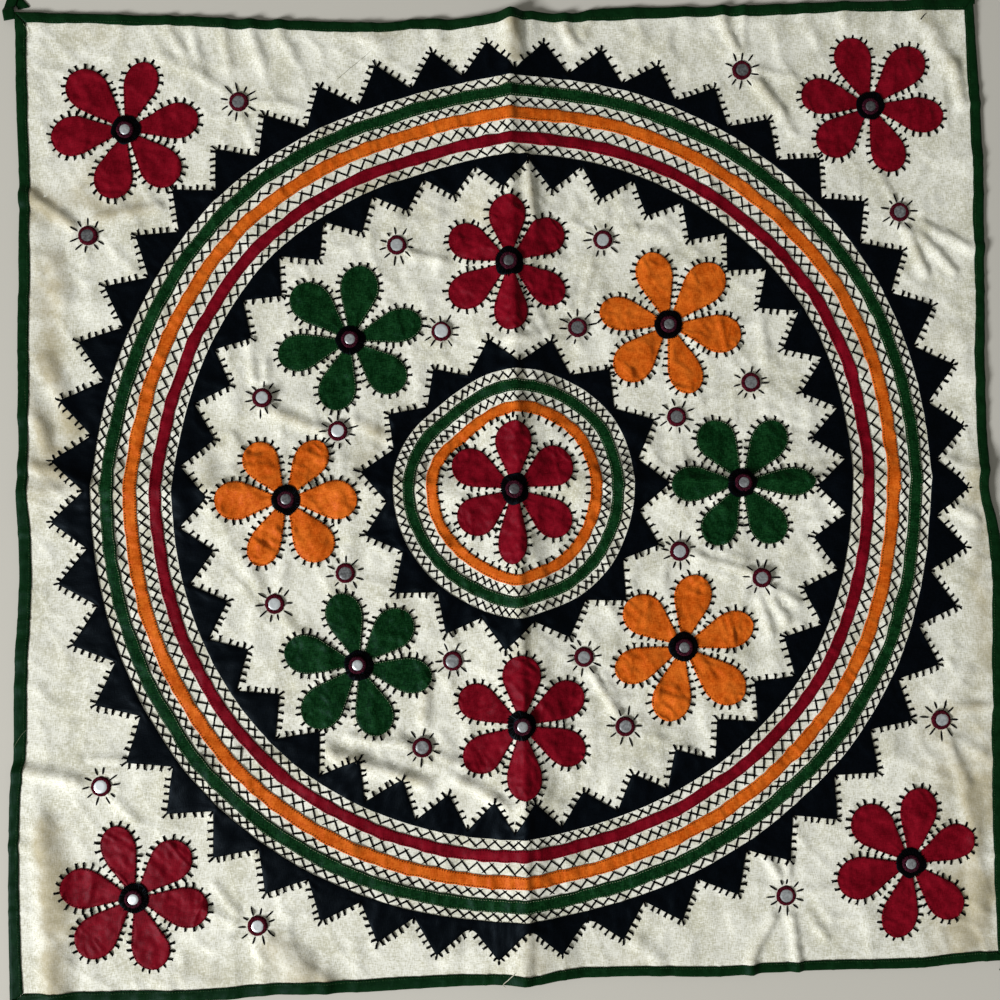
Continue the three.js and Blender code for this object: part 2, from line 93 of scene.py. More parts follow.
# Folds run from (x1, y1) to (x2, y2). left and right: how far each flank spreads, seen along
# that direction. fade: how far it runs out at its ends. sharp: 1 is a pressed crease, 0 a soft
# roll. The last column darkens the cloth toward tan along the fold: partly dirt that it holds,
# partly painted shade in the fold.
FOLD = np.dtype([(name, float) for name in
                 "x1 y1 x2 y2 high left right fade sharp soil".split()])
CREASES = np.array([
    (2, -500, 4, 500, 8.0, 58, 52, 1, 1.0, 0.3),
    (-500, 10, 500, 5, 5.0, 46, 48, 1, 1.0, 0.3),
    (-500, -250, 500, -254, 2.2, 40, 44, 1, 0.7, 0.1),
    (-438, -285, -428, -470, 4.5, 24, 17, 30, 0.4, 1.0),
    (-238, -400, -172, -462, 4.5, 22, 26, 14, 0.3, 1.0),
    (392, 462, 432, 392, 3.0, 14, 16, 20, 0.2, 0.4),
], FOLD)
FOLDS = np.array([
    # crests of the two standing creases
    (2, -458, 4, 460, 0.9, 12, 7, 10, 0.6, 0.0),
    (-458, 10, 450, 5, 0.45, 12, 9, 10, 0.6, 0.0),
    # upper left
    (-460, 298, -404, 256, 2.1, 9, 10, 10, 0.5, 1.3),
    (-388, 263, -322, 275, 1.6, 10, 9, 14, 0.5, 0.4),
    (-318, 447, -292, 402, 1.1, 7, 8, 12, 0.1, 0.2),
    (-296, 446, -284, 396, 0.9, 7, 7, 12, 0.1, 0.1),
    (-266, 446, -258, 402, 1.1, 8, 8, 12, 0.1, 0.2),
    (-240, 444, -226, 400, 1.2, 8, 9, 12, 0.1, 0.2),
    (-215, 442, -196, 408, 1.0, 8, 8, 12, 0.1, 0.1),
    (-186, 440, -172, 412, 0.8, 8, 8, 12, 0.1, 0.1),
    (-330, 418, -262, 384, 0.9, 8, 8, 16, 0.2, 0.1),
    (-240, 372, -198, 368, 1.0, 6, 6, 10, 0.2, 0.0),
    (-248, 358, -236, 322, 0.9, 6, 6, 10, 0.2, 0.1),
    (-426, 236, -414, 184, 1.1, 16, 15, 20, 0.0, 0.6),
    (-372, 238, -348, 210, 0.8, 8, 8, 12, 0.1, 0.2),
    # left margin and west
    (-434, 138, -404, 66, 1.4, 13, 14, 16, 0.3, 1.0),
    (-454, 112, -428, 44, 1.5, 11, 11, 14, 0.3, 0.7),
    (-446, 34, -402, 22, 1.3, 9, 10, 10, 0.3, 0.8),
    (-234, 84, -172, 58, 1.9, 9, 9, 8, 0.4, 0.6),
    (-246, 148, -240, 106, 0.9, 6, 6, 8, 0.2, 0.2),
    (-228, 150, -230, 106, 0.8, 5, 5, 8, 0.2, 0.1),
    (-258, -52, -232, -90, 1.2, 9, 9, 10, 0.2, 0.2),
    (-215, -60, -222, -90, 0.9, 7, 7, 8, 0.2, 0.1),
    (-216, -108, -196, -140, 0.9, 8, 8, 10, 0.2, 0.1),
    # top margin and north
    (8, 452, 14, 404, 2.2, 8, 19, 8, 0.3, 1.0),
    (18, 322, 25, 248, 2.0, 4, 9, 8, 0.8, 0.7),
    (50, 452, 68, 420, 1.7, 9, 8, 8, 0.3, 0.5),
    (82, 450, 74, 430, 1.2, 8, 7, 8, 0.2, 0.3),
    (-70, 444, -62, 424, 0.8, 9, 9, 10, 0.1, 0.2),
    (-140, 438, -118, 420, 0.7, 9, 9, 10, 0.1, 0.1),
    (120, 452, 134, 424, 0.8, 10, 10, 10, 0.1, 0.1),
    (-100, 228, -58, 217, 1.3, 6, 6, 8, 0.4, 0.3),
    (-96, 250, -60, 262, 0.7, 7, 7, 10, 0.1, 0.1),
    (56, 254, 84, 240, 1.1, 6, 6, 8, 0.3, 0.2),
    (104, 246, 150, 240, 0.9, 8, 8, 12, 0.1, 0.1),
    (-18, 142, 22, 145, 1.3, 6, 6, 8, 0.3, 0.4),
    (22, 145, 52, 158, 1.2, 6, 6, 6, 0.3, 0.4),
    (66, 172, 82, 226, 0.8, 7, 7, 12, 0.1, 0.2),
    # upper right
    (204, 452, 221, 412, 1.9, 9, 8, 8, 0.3, 0.4),
    (228, 448, 228, 412, 1.1, 6, 6, 8, 0.2, 0.2),
    (190, 436, 214, 410, 0.8, 6, 6, 8, 0.2, 0.1),
    (236, 388, 264, 354, 2.0, 9, 9, 10, 0.3, 0.4),
    (262, 356, 276, 330, 1.2, 8, 8, 10, 0.1, 0.3),
    (238, 398, 276, 388, 0.8, 6, 6, 10, 0.2, 0.1),
    (284, 452, 300, 420, 1.0, 10, 10, 12, 0.1, 0.1),
    (322, 454, 326, 438, 0.9, 9, 9, 8, 0.1, 0.1),
    (428, 404, 438, 356, 1.8, 9, 10, 14, 0.2, 0.4),
    (376, 244, 396, 196, 2.1, 8, 8, 8, 0.3, 0.4),
    (384, 242, 424, 198, 2.0, 8, 8, 8, 0.3, 0.3),
    (390, 248, 442, 220, 1.5, 8, 8, 8, 0.3, 0.2),
    (366, 272, 352, 300, 0.8, 7, 7, 10, 0.1, 0.1),
    (380, 276, 398, 300, 0.8, 7, 7, 10, 0.1, 0.1),
    # middle and east
    (156, 68, 222, 100, 1.0, 4, 4, 5, 0.7, 0.2),
    (146, 6, 296, 5, 0.9, 7, 5, 10, 0.8, 0.0),
    (-152, 72, -112, 50, 1.3, 10, 9, 8, 0.1, 0.5),
    (236, 160, 240, 116, 0.9, 8, 8, 10, 0.1, 0.2),
    (100, 60, 128, 40, 0.8, 8, 8, 10, 0.1, 0.1),
    (158, -60, 222, -82, 1.9, 8, 7, 6, 0.4, 0.3),
    (172, -54, 214, -68, 1.0, 6, 6, 8, 0.3, 0.1),
    (168, -72, 206, -88, 0.9, 6, 6, 8, 0.3, 0.1),
    (236, -92, 264, -112, 1.5, 7, 7, 8, 0.3, 0.2),
    (233, -97, 252, -130, 1.9, 8, 7, 8, 0.3, 0.3),
    (226, -100, 236, -140, 1.4, 7, 7, 8, 0.3, 0.2),
    (214, -98, 204, -122, 0.9, 7, 7, 8, 0.2, 0.1),
    (406, 22, 440, 8, 1.1, 7, 7, 8, 0.2, 0.2),
    (404, -18, 436, -38, 1.3, 8, 8, 10, 0.2, 0.2),
    (422, 150, 430, 90, 0.8, 12, 12, 16, 0.0, 0.2),
    (196, 160, 202, 128, 0.8, 4, 4, 5, 0.5, 0.0),
    # creases pressed into the orange flowers
    (146, -106, 180, -99, 0.6, 3.5, 7, 8, 0.4, 0.0),
    (162, -88, 180, -93, 0.45, 3, 5, 6, 0.4, 0.0),
    (196, -119, 202, -148, 0.75, 3, 6, 6, 0.6, 0.0),
    (189, -121, 194, -140, 0.52, 3, 4, 5, 0.5, 0.0),
    (206, -121, 209, -142, 0.38, 3, 5, 6, 0.4, 0.0),
    (103, -106, 119, -121, 0.68, 3, 5, 6, 0.5, 0.0),
    (121, -106, 117, -128, 0.6, 4, 3, 6, 0.5, 0.0),
    (108, -128, 138, -112, 0.38, 4, 5, 8, 0.3, 0.0),
    (98, -152, 122, -165, 0.75, 3.5, 6, 8, 0.4, 0.0),
    (97, -160, 106, -176, 0.38, 4, 4, 6, 0.4, 0.0),
    (126, -190, 157, -199, 0.83, 4, 8, 8, 0.4, 0.0),
    (130, -181, 147, -188, 0.52, 3.5, 5, 6, 0.4, 0.0),
    (168, -156, 183, -181, 0.75, 4, 9, 8, 0.4, 0.0),
    (184, -188, 200, -194, 0.52, 4, 5, 6, 0.3, 0.0),
    (-252, 30, -221, 26, 0.75, 4, 7, 6, 0.4, 0.0),
    (-251, 34, -228, 41, 0.52, 3.5, 5, 6, 0.4, 0.0),
    (-198, 43, -178, 34, 0.68, 3.5, 6, 6, 0.5, 0.0),
    (-201, 28, -190, 25, 0.52, 3.5, 5, 5, 0.4, 0.0),
    (-236, -24, -217, -33, 0.6, 3, 7, 5, 0.6, 0.0),
    (-246, -37, -222, -53, 0.79, 3, 8, 5, 0.6, 0.0),
    (-238, -35, -221, -43, 0.52, 3, 4, 5, 0.6, 0.0),
    (-272, 9, -246, 5, 0.6, 4, 7, 8, 0.3, 0.0),
    (-170, -4, -152, -14, 0.52, 4, 6, 6, 0.3, 0.0),
    (-208, -32, -196, -50, 0.3, 5, 7, 8, 0.3, 0.0),
    # lower left
    (-458, -243, -402, -257, 1.9, 10, 9, 8, 0.3, 0.5),
    (-396, -236, -366, -237, 1.2, 5, 5, 6, 0.5, 0.4),
    (-372, -272, -352, -296, 0.8, 7, 7, 10, 0.1, 0.1),
    (-402, -274, -420, -300, 0.9, 8, 8, 12, 0.1, 0.2),
    (-286, -350, -262, -382, 1.1, 7, 7, 8, 0.2, 0.2),
    (-300, -372, -262, -390, 0.9, 6, 6, 8, 0.2, 0.1),
    (-292, -412, -258, -400, 0.8, 7, 7, 10, 0.1, 0.1),
    (-244, -412, -238, -444, 1.0, 9, 9, 8, 0.1, 0.2),
    (-346, -432, -320, -446, 0.8, 9, 9, 10, 0.1, 0.1),
    (-398, -372, -420, -394, 0.9, 9, 9, 10, 0.1, 0.1),
    # bottom and south
    (-162, -222, -102, -231, 1.4, 7, 7, 8, 0.3, 0.2),
    (-90, -214, -86, -166, 1.2, 8, 8, 8, 0.2, 0.6),
    (-178, -236, -84, -268, 2.4, 9, 10, 12, 0.3, 0.6),
    (-78, -241, -48, -254, 1.2, 6, 6, 8, 0.3, 0.3),
    (-62, -262, -10, -292, 2.0, 8, 9, 10, 0.3, 0.5),
    (64, -166, 92, -211, 2.0, 6, 6, 5, 0.5, 0.5),
    (76, -168, 92, -200, 0.8, 5, 5, 6, 0.3, 0.1),
    (102, -262, 152, -237, 0.9, 6, 6, 10, 0.4, 0.1),
    (110, -226, 140, -236, 0.8, 6, 6, 8, 0.2, 0.1),
    (30, -290, 50, -262, 0.8, 8, 8, 10, 0.1, 0.1),
    (-116, -118, -100, -100, 1.0, 9, 9, 10, 0.1, 0.3),
    (96, -412, 128, -438, 0.9, 10, 10, 12, 0.1, 0.1),
    (-74, -432, -60, -412, 0.8, 9, 9, 10, 0.1, 0.1),
    # pleats across the wide band beside the standing crease
    (-29, -352, -26, -418, 0.35, 3, 4, 8, 0.4, 0.0),
    (-15, -330, -12, -420, 0.4, 3, 4, 8, 0.4, 0.0),
    (-21, -396, -20, -420, 0.4, 2.5, 3, 6, 0.4, 0.0),
    (14, -328, 15, -408, 0.3, 3, 4, 8, 0.4, 0.0),
    (24, -392, 25, -412, 0.45, 3, 4, 6, 0.4, 0.0),
    (37, -345, 40, -368, 0.4, 3, 4, 6, 0.4, 0.0),
    # lower right
    (222, -340, 238, -364, 1.6, 6, 6, 6, 0.3, 0.2),
    (246, -340, 243, -364, 1.1, 5, 5, 6, 0.3, 0.1),
    (246, -396, 251, -444, 1.9, 7, 7, 8, 0.4, 0.3),
    (231, -396, 204, -440, 1.8, 8, 7, 8, 0.3, 0.4),
    (262, -394, 278, -422, 1.0, 7, 7, 8, 0.2, 0.1),
    (262, -376, 300, -374, 0.8, 6, 6, 10, 0.2, 0.1),
    (397, -240, 416, -286, 1.3, 10, 10, 10, 0.3, 0.4),
    (416, -286, 424, -420, 1.4, 13, 12, 20, 0.1, 0.8),
    (402, -236, 442, -262, 1.0, 8, 8, 8, 0.2, 0.1),
    (402, -211, 446, -210, 1.2, 8, 8, 6, 0.2, 0.5),
    (398, -204, 424, -172, 1.1, 8, 8, 10, 0.1, 0.2),
], FOLD)
FOLD_SCALE = 1.9
CREST_ROUND = 0.045  # share of a flank over which a fold's crest is rounded

# Soft grey-brown darkening, wide and tall to where it has faded: partly stains from handling and
# storage, partly painted shade where the cloth dips between pieces or turns away from the lamp.
STAIN_AND_SHADE = np.dtype([(name, float) for name in "x y wide tall dark".split()])
STAINS_AND_SHADE = np.array([
    (-400, 345, 26, 44, 0.5), (-395, 285, 34, 26, 0.5), (-360, 276, 30, 16, 0.6),
    (-380, 437, 40, 20, 0.35), (-110, 285, 75, 22, 0.5), (-30, 255, 40, 20, 0.3),
    (-171, 350, 22, 26, 0.35), (-437, 205, 16, 30, 0.45), (-432, 105, 22, 60, 0.5),
    (-415, 35, 34, 36, 0.6), (-265, 38, 40, 26, 0.35), (-133, 40, 24, 30, 0.4),
    (90, 108, 34, 30, 0.35), (437, -19, 14, 30, 0.6), (437, -100, 14, 60, 0.45),
    (437, -285, 14, 40, 0.5), (437, -400, 16, 50, 0.45), (400, -385, 20, 44, 0.4),
    (399, -437, 26, 18, 0.6), (400, -260, 26, 40, 0.45), (375, -210, 30, 20, 0.35),
    (285, -200, 30, 26, 0.3), (-415, -395, 34, 60, 0.45), (-300, -437, 40, 14, 0.35),
    (-209, -437, 24, 14, 0.4), (95, -437, 20, 14, 0.4), (-57, -285, 24, 20, 0.45),
    (-420, -320, 30, 24, 0.35), (190, 247, 50, 16, 0.3), (247, 205, 26, 20, 0.3),
    (404, 130, 18, 60, 0.3), (80, 399, 36, 30, 0.25), (-120, 437, 30, 14, 0.35),
    (-247, 399, 24, 22, 0.25), (-400, -133, 50, 22, 0.3), (10, -425, 12, 24, 0.5),
    (405, -330, 52, 130, 0.35), (440, -170, 20, 150, 0.35), (402, -372, 16, 40, 0.4),
    (-436, 272, 26, 22, 0.8), (-405, 40, 60, 30, 0.15), (-120, 300, 80, 16, 0.3),
    (408, -402, 26, 40, 0.7), (60, -440, 30, 14, 0.3), (-430, 180, 18, 42, 0.7),
], STAIN_AND_SHADE)


def through(table, column, at):
    """Smooth curve through a table: a cubic between each two rows, whose slope at a row is the
    mean slope of the table there."""
    places, values = table["at"], table[column]
    slopes = np.gradient(values, places)
    row = np.clip(np.searchsorted(places, at) - 1, 0, len(places) - 2)
    run = places[row + 1] - places[row]
    share = np.clip((at - places[row]) / run, 0, 1)
    rest = 1 - share
    return (rest ** 2 * ((1 + 2 * share) * values[row] + share * run * slopes[row])
            + share ** 2 * ((3 - 2 * share) * values[row + 1] - rest * run * slopes[row + 1]))


def place(u, v):
    """Plan place of the point u, v of the true square: its border is pulled out to the worn
    edges, in proportion to how far past TRUE_HALF it lies."""
    pull_u = np.maximum(np.abs(u) - TRUE_HALF, 0) / (SIDE_HALF - TRUE_HALF)
    pull_v = np.maximum(np.abs(v) - TRUE_HALF, 0) / (SIDE_HALF - TRUE_HALF)
    side = np.where(u < 0, through(LEFT_EDGE, "out", v) + SIDE_HALF,
                    through(RIGHT_EDGE, "out", v) - SIDE_HALF)
    end = np.where(v < 0, through(BOTTOM_EDGE, "out", u) + SIDE_HALF,
                   through(TOP_EDGE, "out", u) - SIDE_HALF)
    return u + side * pull_u, v + end * pull_v


def smooth_step(share):
    """0 to 1 as the share goes from 0 to 1, level at both ends."""
    return share ** 2 * (3 - 2 * share)


def fold_height(fold, x, y):
    """Share of a fold's full height over x, y: 1 on its line, falling over each flank to 0 in
    a straight-sided curve if sharp or a smooth roll if not, and smoothly to 0 past its ends."""
    dx, dy = fold["x2"] - fold["x1"], fold["y2"] - fold["y1"]
    long = np.hypot(dx, dy)
    along = ((x - fold["x1"]) * dx + (y - fold["y1"]) * dy) / long
    side = ((y - fold["y1"]) * dx - (x - fold["x1"]) * dy) / long
    spread = np.where(side > 0, fold["left"], fold["right"])
    rounded = np.hypot(side / spread, CREST_ROUND) - CREST_ROUND
    inside = np.clip(1 - rounded, 0, 1)
    flank = fold["sharp"] * inside ** 1.5 + (1 - fold["sharp"]) * smooth_step(inside)
    past = np.clip(np.maximum(-along, along - long) / fold["fade"] + 0.5, 0, 1)
    return flank * (1 - smooth_step(past))


WAVES = 14  # waves added up in one ripple
RIDGE_NARROW = 0.3


def ripple(x, y, size, seed):
    """Random swell of about unit height: waves of about one length, size, are added up, each
    in its own random direction and phase."""
    rng = np.random.default_rng(seed)
    turn = rng.uniform(0, 2 * np.pi, WAVES)
    count = 2 * np.pi / (size * rng.uniform(0.7, 1.5, WAVES))
    phase = rng.uniform(0, 2 * np.pi, WAVES)
    height = 0
    for angle, number, start in zip(turn, count, phase):
        height = height + np.sin(number * (x * np.cos(angle) + y * np.sin(angle)) + start)
    return height * np.sqrt(2 / WAVES)


def wrinkle(x, y, size, seed):
    """Random net of narrow ridges, 1 high: they run where a ripple of that size crosses 0."""
    return np.exp(-(ripple(x, y, size, seed) / RIDGE_NARROW) ** 2)


# Where the small mirrors are sewn on the ground, and how bright each glass is painted: a painted
# reflection.
SPOT = np.dtype([("x", float), ("y", float), ("painted_reflection", float)])
SPOTS = np.array([
    (-251.5, 372.5, 0.22), (-393, 247.5, 0.12), (-106, 234, 0.66), (-233, 92, 0.7),
    (-164, 60, 0.92), (-66, 151.5, 0.9), (225, 397, 0.1), (371.5, 258, 0.24),
    (88, 236, 0.72), (62, 153, 0.15), (224, 98, 0.28), (153, 67, 0.2),
    (-225, -99, 0.78), (-159.5, -72, 0.18), (-62, -155.5, 0.36), (-91.5, -234, 0.33),
    (-385, -261, 1.35), (-245, -391.5, 0.8), (152, -59, 0.64), (228, -85.5, 0.4),
    (60, -155, 0.44), (96.5, -220, 0.34), (392.5, -222, 0.58), (242, -380, 0.45),
], SPOT)
SPOT_RADIUS = 9.2
GATHER_HIGH = 1.4
GATHER_FADE = 11.0  # distance over which a pleat dies away
GATHER_FROM = 6.0  # it rises from this far out, under the ring of thread
GATHER_RISE = 5.0


def gathers(x, y):
    """Pleats that run out from every spot: a ring of waves round it, eight or so to the turn,
    that starts at the thread ring and dies away outward."""
    height = np.zeros(np.shape(x))
    rng = np.random.default_rng(31)
    for spot in SPOTS:
        away = np.hypot(x - spot["x"], y - spot["y"])
        turn = np.arctan2(y - spot["y"], x - spot["x"])
        number = rng.integers(7, 10)
        start, lean = rng.uniform(0, 2 * np.pi, 2)
        wave = 0.5 + 0.5 * np.sin(number * turn + start)
        uneven = 0.65 + 0.35 * np.sin(turn + lean)
        reach = np.exp(-np.maximum(away - SPOT_RADIUS, 0) / GATHER_FADE)
        reach = reach * np.clip((away - GATHER_FROM) / GATHER_RISE, 0, 1)
        height += GATHER_HIGH * wave * uneven * reach
    return height


def crease_relief(x, y):
    """The standing creases, in mm: where two cross, the higher one runs through."""
    return np.max([fold["high"] * fold_height(fold, x, y) for fold in CREASES], axis=0)


# Light unevenness: swells and nets of wrinkles, by size. more: what is added to the height
# inside the wide band, where more sewing pulls on the cloth.
UNEVEN = np.dtype([("size", float), ("high", float), ("more", float), ("seed", int)])
SWELLS = np.array([(75, 0.4, 0, 3), (29, 0.34, 0.16, 5), (14, 0.14, 0.06, 8)], UNEVEN)
WRINKLES = np.array([(52, 0.85, 0, 11), (27, 0.45, 0.35, 13)], UNEVEN)
BAND_INSIDE = 305.0
BAND_BLEND = 20.0
PUCKER_APART = 15.0  # the puckers that run in from the binding
PUCKER_HIGH = 0.32
PUCKER_FADE = 26.0


def puckers(x, y):
    """Short pleats along the four sides: ripples that die away inward."""
    sides = ((x + SIDE_HALF, y), (SIDE_HALF - x, y), (y + SIDE_HALF, x), (SIDE_HALF - y, x))
    height = 0
    for seed, (inward, along) in enumerate(sides):
        pleat = ripple(along, 0.15 * inward, PUCKER_APART, 20 + seed)
        height = height + PUCKER_HIGH * pleat * np.exp(-np.abs(inward) / PUCKER_FADE)
    return height


def relief(x, y):
    """Height of the ground's underside above the floor, in mm: the standing creases, the
    smaller folds, the gathers at the spots, the puckers along the binding and a light
    unevenness, never below the floor."""
    height = crease_relief(x, y) + gathers(x, y) + puckers(x, y)
    for fold in FOLDS:
        height += FOLD_SCALE * fold["high"] * fold_height(fold, x, y)
    between = np.clip((BAND_INSIDE - np.hypot(x, y)) / BAND_BLEND, 0, 1)
    for table, pattern in ((SWELLS, ripple), (WRINKLES, wrinkle)):
        for row in table:
            share = row["high"] + row["more"] * between
            height += share * pattern(x, y, row["size"], row["seed"])
    return np.maximum(height + FLOOR_GAP, 0)


def rim_relief(u, v):
    """Height of the folds under the point u, v of the true square. The binding holds the rim,
    so across it the height stays what it is at the rim's inner line."""
    limit = SIDE_HALF - RIM_WIDE
    return relief(*place(np.clip(u, -limit, limit), np.clip(v, -limit, limit)))


def rim_lift(u, v):
    """Lift of the cloth over the binding's lower leg, falling evenly to 0 inside the rim."""
    inside = SIDE_HALF - np.maximum(np.abs(u), np.abs(v))
    return (BINDING_THICK + SEAM_GAP) * np.clip(1 - (inside - RIM_WIDE) / RIM_RUN, 0, 1)


def lengths(vectors):
    """Length of each of many plan vectors."""
    return np.hypot(*vectors.T)


def unit(vectors):
    """Each vector divided by its length."""
    return vectors / np.maximum(lengths(vectors), 1e-6)[:, None]


def heading(angle):
    """Plan direction at an angle from the x axis: its cosine and its sine."""
    return np.stack([np.cos(angle), np.sin(angle)], axis=-1)


def in_metres(x, y, z):
    """Points in the frame, in metres, from plan places and heights in mm."""
    x, y, z = np.broadcast_arrays(x, y, z)
    return np.stack([MIDDLE_X + x * MM, MIDDLE_Y + y * MM, z * MM], axis=-1)


def lay(x, y, rise):
    """Points of a piece sewn down at x, y, so far above the ground's underside."""
    return in_metres(x, y, relief(x, y) + rise)


def grid_faces(rows, columns, round_rows=False, round_columns=False):
    """Four-cornered faces of a grid of points, row after row. A round one closes on itself."""
    row = np.arange(rows if round_rows else rows - 1)[:, None]
    column = np.arange(columns if round_columns else columns - 1)[None, :]
    next_row, next_column = (row + 1) % rows, (column + 1) % columns
    corners = [row * columns + column, next_row * columns + column,
               next_row * columns + next_column, row * columns + next_column]
    return np.stack(np.broadcast_arrays(*corners), axis=-1).reshape(-1, 4)


def swept_volume(points, faces):
    """Six times the signed volume inside closed faces: each face is a fan of triangles, and
    each triangle makes a pyramid with the origin."""
    total = 0.0
    for group in faces:
        corner = points[group]
        for k in range(1, group.shape[1] - 1):
            total += np.sum(corner[:, 0] * np.cross(corner[:, k], corner[:, k + 1]))
    return total


def add_object(name, data):
    """A new object in the scene."""
    made = bpy.data.objects.new(name, data)
    bpy.context.scene.collection.objects.link(made)
    return made


def make_piece(name, points, faces, finish, weld=False):
    """Mesh object of points in metres and groups of faces, each group of one corner count. A
    shell that comes out inside out is turned, and weld joins the points of its poles."""
    points = points.reshape(-1, 3)
    middle = points.mean(axis=0)
    if swept_volume(points - middle, faces) < 0:
        faces = [group[:, ::-1] for group in faces]
    mesh = bpy.data.meshes.new(name)
    mesh.vertices.add(len(points))
    mesh.vertices.foreach_set("co", points.astype(np.float32).ravel())
    corners = np.concatenate([group.ravel() for group in faces]).astype(np.int32)
    counts = np.concatenate([np.full(len(group), group.shape[1]) for group in faces])
    starts = (np.cumsum(counts) - counts).astype(np.int32)
    mesh.loops.add(len(corners))
    mesh.loops.foreach_set("vertex_index", corners)
    mesh.polygons.add(len(starts))
    mesh.polygons.foreach_set("loop_start", starts)
    mesh.update(calc_edges=True)
    if weld:
        welded = bmesh.new()
        welded.from_mesh(mesh)
        bmesh.ops.remove_doubles(welded, verts=welded.verts, dist=2e-6)
        welded.to_mesh(mesh)
        welded.free()
    mesh.shade_smooth()
    mesh.materials.append(finish)
    made = add_object(name, mesh)
    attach(made, "root")
    return made


def store(piece, name, values):
    """Keeps one value for each point of a piece, for its finish to read by that name."""
    piece.data.attributes.new(name, "FLOAT", "POINT").data.foreach_set("value", values)


class Value:
    """One socket of a finish. Sums on it add Math nodes, so a pattern is written as maths."""

    def __init__(self, finish, socket):
        self.finish = finish
        self.socket = socket

    def maths(self, operation, *values):
        """A Math node on values that are sockets or plain numbers."""
        sockets = dict(enumerate(values))
        return self.finish.node("ShaderNodeMath", {"operation": operation}, sockets)

    def __add__(self, other):
        return self.maths("ADD", self, other)

    def __sub__(self, other):
        return self.maths("SUBTRACT", self, other)

    def __rsub__(self, other):
        return self.maths("SUBTRACT", other, self)

    def __mul__(self, other):
        return self.maths("MULTIPLY", self, other)

    __radd__ = __add__
    __rmul__ = __mul__

    def between(self, low, high):
        """0 below low, 1 above high, and a smooth step from one to the other."""
        return self.finish.node("ShaderNodeMapRange", {"interpolation_type": "SMOOTHSTEP"},
                                {"Value": self, "From Min": low, "From Max": high})


class Finish:
    """A material whose nodes are added one at a time, around its main shader."""

    def __init__(self, name, **constants):
        self.material = bpy.data.materials.new(name)
        self.material.use_nodes = True
        self.shader = self.material.node_tree.nodes["Principled BSDF"]
        self.give(**constants)

    def give(self, **values):
        """Sets or links sockets of the main shader."""
        for key, value in values.items():
            self.put(self.shader.inputs[key.replace("_", " ")], value)

    def put(self, socket, value):
        """Links a worked-out value to a socket, or sets a constant on it."""
        if isinstance(value, Value):
            self.material.node_tree.links.new(value.socket, socket)
        else:
            socket.default_value = value

    def node(self, kind, settings, sockets, output=0):
        """One node: its type, its settings, then the values or links of its sockets."""
        node = self.material.node_tree.nodes.new(kind)
        for key, value in settings.items():
            setattr(node, key, value)
        for key, value in sockets.items():
            self.put(node.inputs[key], value)
        return Value(self, node.outputs[output])

    def place(self, across=1.0, along=1.0):
        """The piece's own coordinates in metres, stretched by a factor on two axes."""
        own = self.node("ShaderNodeTexCoord", {}, {}, output="Object")
        return self.node("ShaderNodeMapping", {}, {"Vector": own, "Scale": (across, along, 1)})

    def cloud(self, where, scale, detail=2.0, rough=0.5):
        """Noise from 0 to 1, so many patches to the metre."""
        return self.node("ShaderNodeTexNoise", {},
                         {"Vector": where, "Scale": scale, "Detail": detail, "Roughness": rough})

    def blend(self, first, second, share):
        """Colour that goes from the first to the second as share goes from 0 to 1."""
        return self.node("ShaderNodeMix", {"data_type": "RGBA"}, {0: share, 6: first, 7: second},
                         output=2)

    def bump(self, height, depth, strength):
        """Normal that the height pattern gives, at a depth in mm."""
        return self.node("ShaderNodeBump", {},
                         {"Height": height, "Distance": depth * MM, "Strength": strength})


def shade(red, green, blue):
    """Linear colour from the 0 to 255 values of a colour as it is seen."""
    seen = np.array([red, green, blue]) / 255
    linear = np.where(seen > 0.04045, ((seen + 0.055) / 1.055) ** 2.4, seen / 12.92)
    return (*linear.tolist(), 1.0)


def yarns(finish):
    """Height and shade of a plain weave: uneven yarns along both ways of the cloth, fine
    ones for the weave itself and long thick ones for its slubs."""
    fine = (finish.cloud(finish.place(0.15, 1.0), 1600, 1.0)
            + finish.cloud(finish.place(1.0, 0.15), 1600, 1.0))
    slubs = (finish.cloud(finish.place(0.25, 1.0), 900, 2.0)
             + finish.cloud(finish.place(1.0, 0.25), 900, 2.0))
    return fine, slubs


cream = Finish("cream_cotton", Roughness=0.95, Specular_IOR_Level=0.2)
fine, slubs = yarns(cream)
# The cream darkens toward tan by the stored soil and shade value: dirt along the folds and in
# stains, and painted shade along the folds and in hollows.
soil_and_shade_value = cream.node("ShaderNodeAttribute", {"attribute_name": "soil"}, {}, output="Fac")
clouds = cream.cloud(cream.place(), 26, 4.0, 0.6)
patches = cream.cloud(cream.place(), 110, 3.0, 0.65)
weave = (slubs - 1.0) * 1.3 + (fine - 1.0) * 1.5
grey = clouds.between(0.38, 0.72) * 0.55 + patches.between(0.4, 0.75) * 0.1 + 0.24 + weave
dirt_and_shade = (soil_and_shade_value * (0.45 + clouds.between(0.3, 0.7) * 0.75)).between(0.0, 1.1)
bare = cream.blend(shade(241, 242, 235), shade(194, 193, 174), grey)
# worn here is the bare cream darkened toward tan, partly dirt and partly painted shade.
worn = cream.blend(bare, shade(160, 147, 111), dirt_and_shade * 0.65)
cream.give(Base_Color=worn)
cream.give(Normal=cream.bump(fine + slubs * 0.5, 0.16, 0.6))


def even_lines(keys, cells):
    """Grid lines between the key places, shared out by length, with a line on each key."""
    keys = np.array(keys, float)
    counts = np.diff(np.round((keys - keys[0]) / (keys[-1] - keys[0]) * cells)).astype(int)
    runs = [np.linspace(a, b, n, endpoint=False) for a, b, n in zip(keys, keys[1:], counts)]
    return np.append(np.concatenate(runs), keys[-1])


TOP_CELLS = 297
UNDER_CELLS = 99
UNDER_DROP = 0.4  # keeps the coarse underside below the fine top
CREASE_X = 3.0
CREASE_Y = 8.0


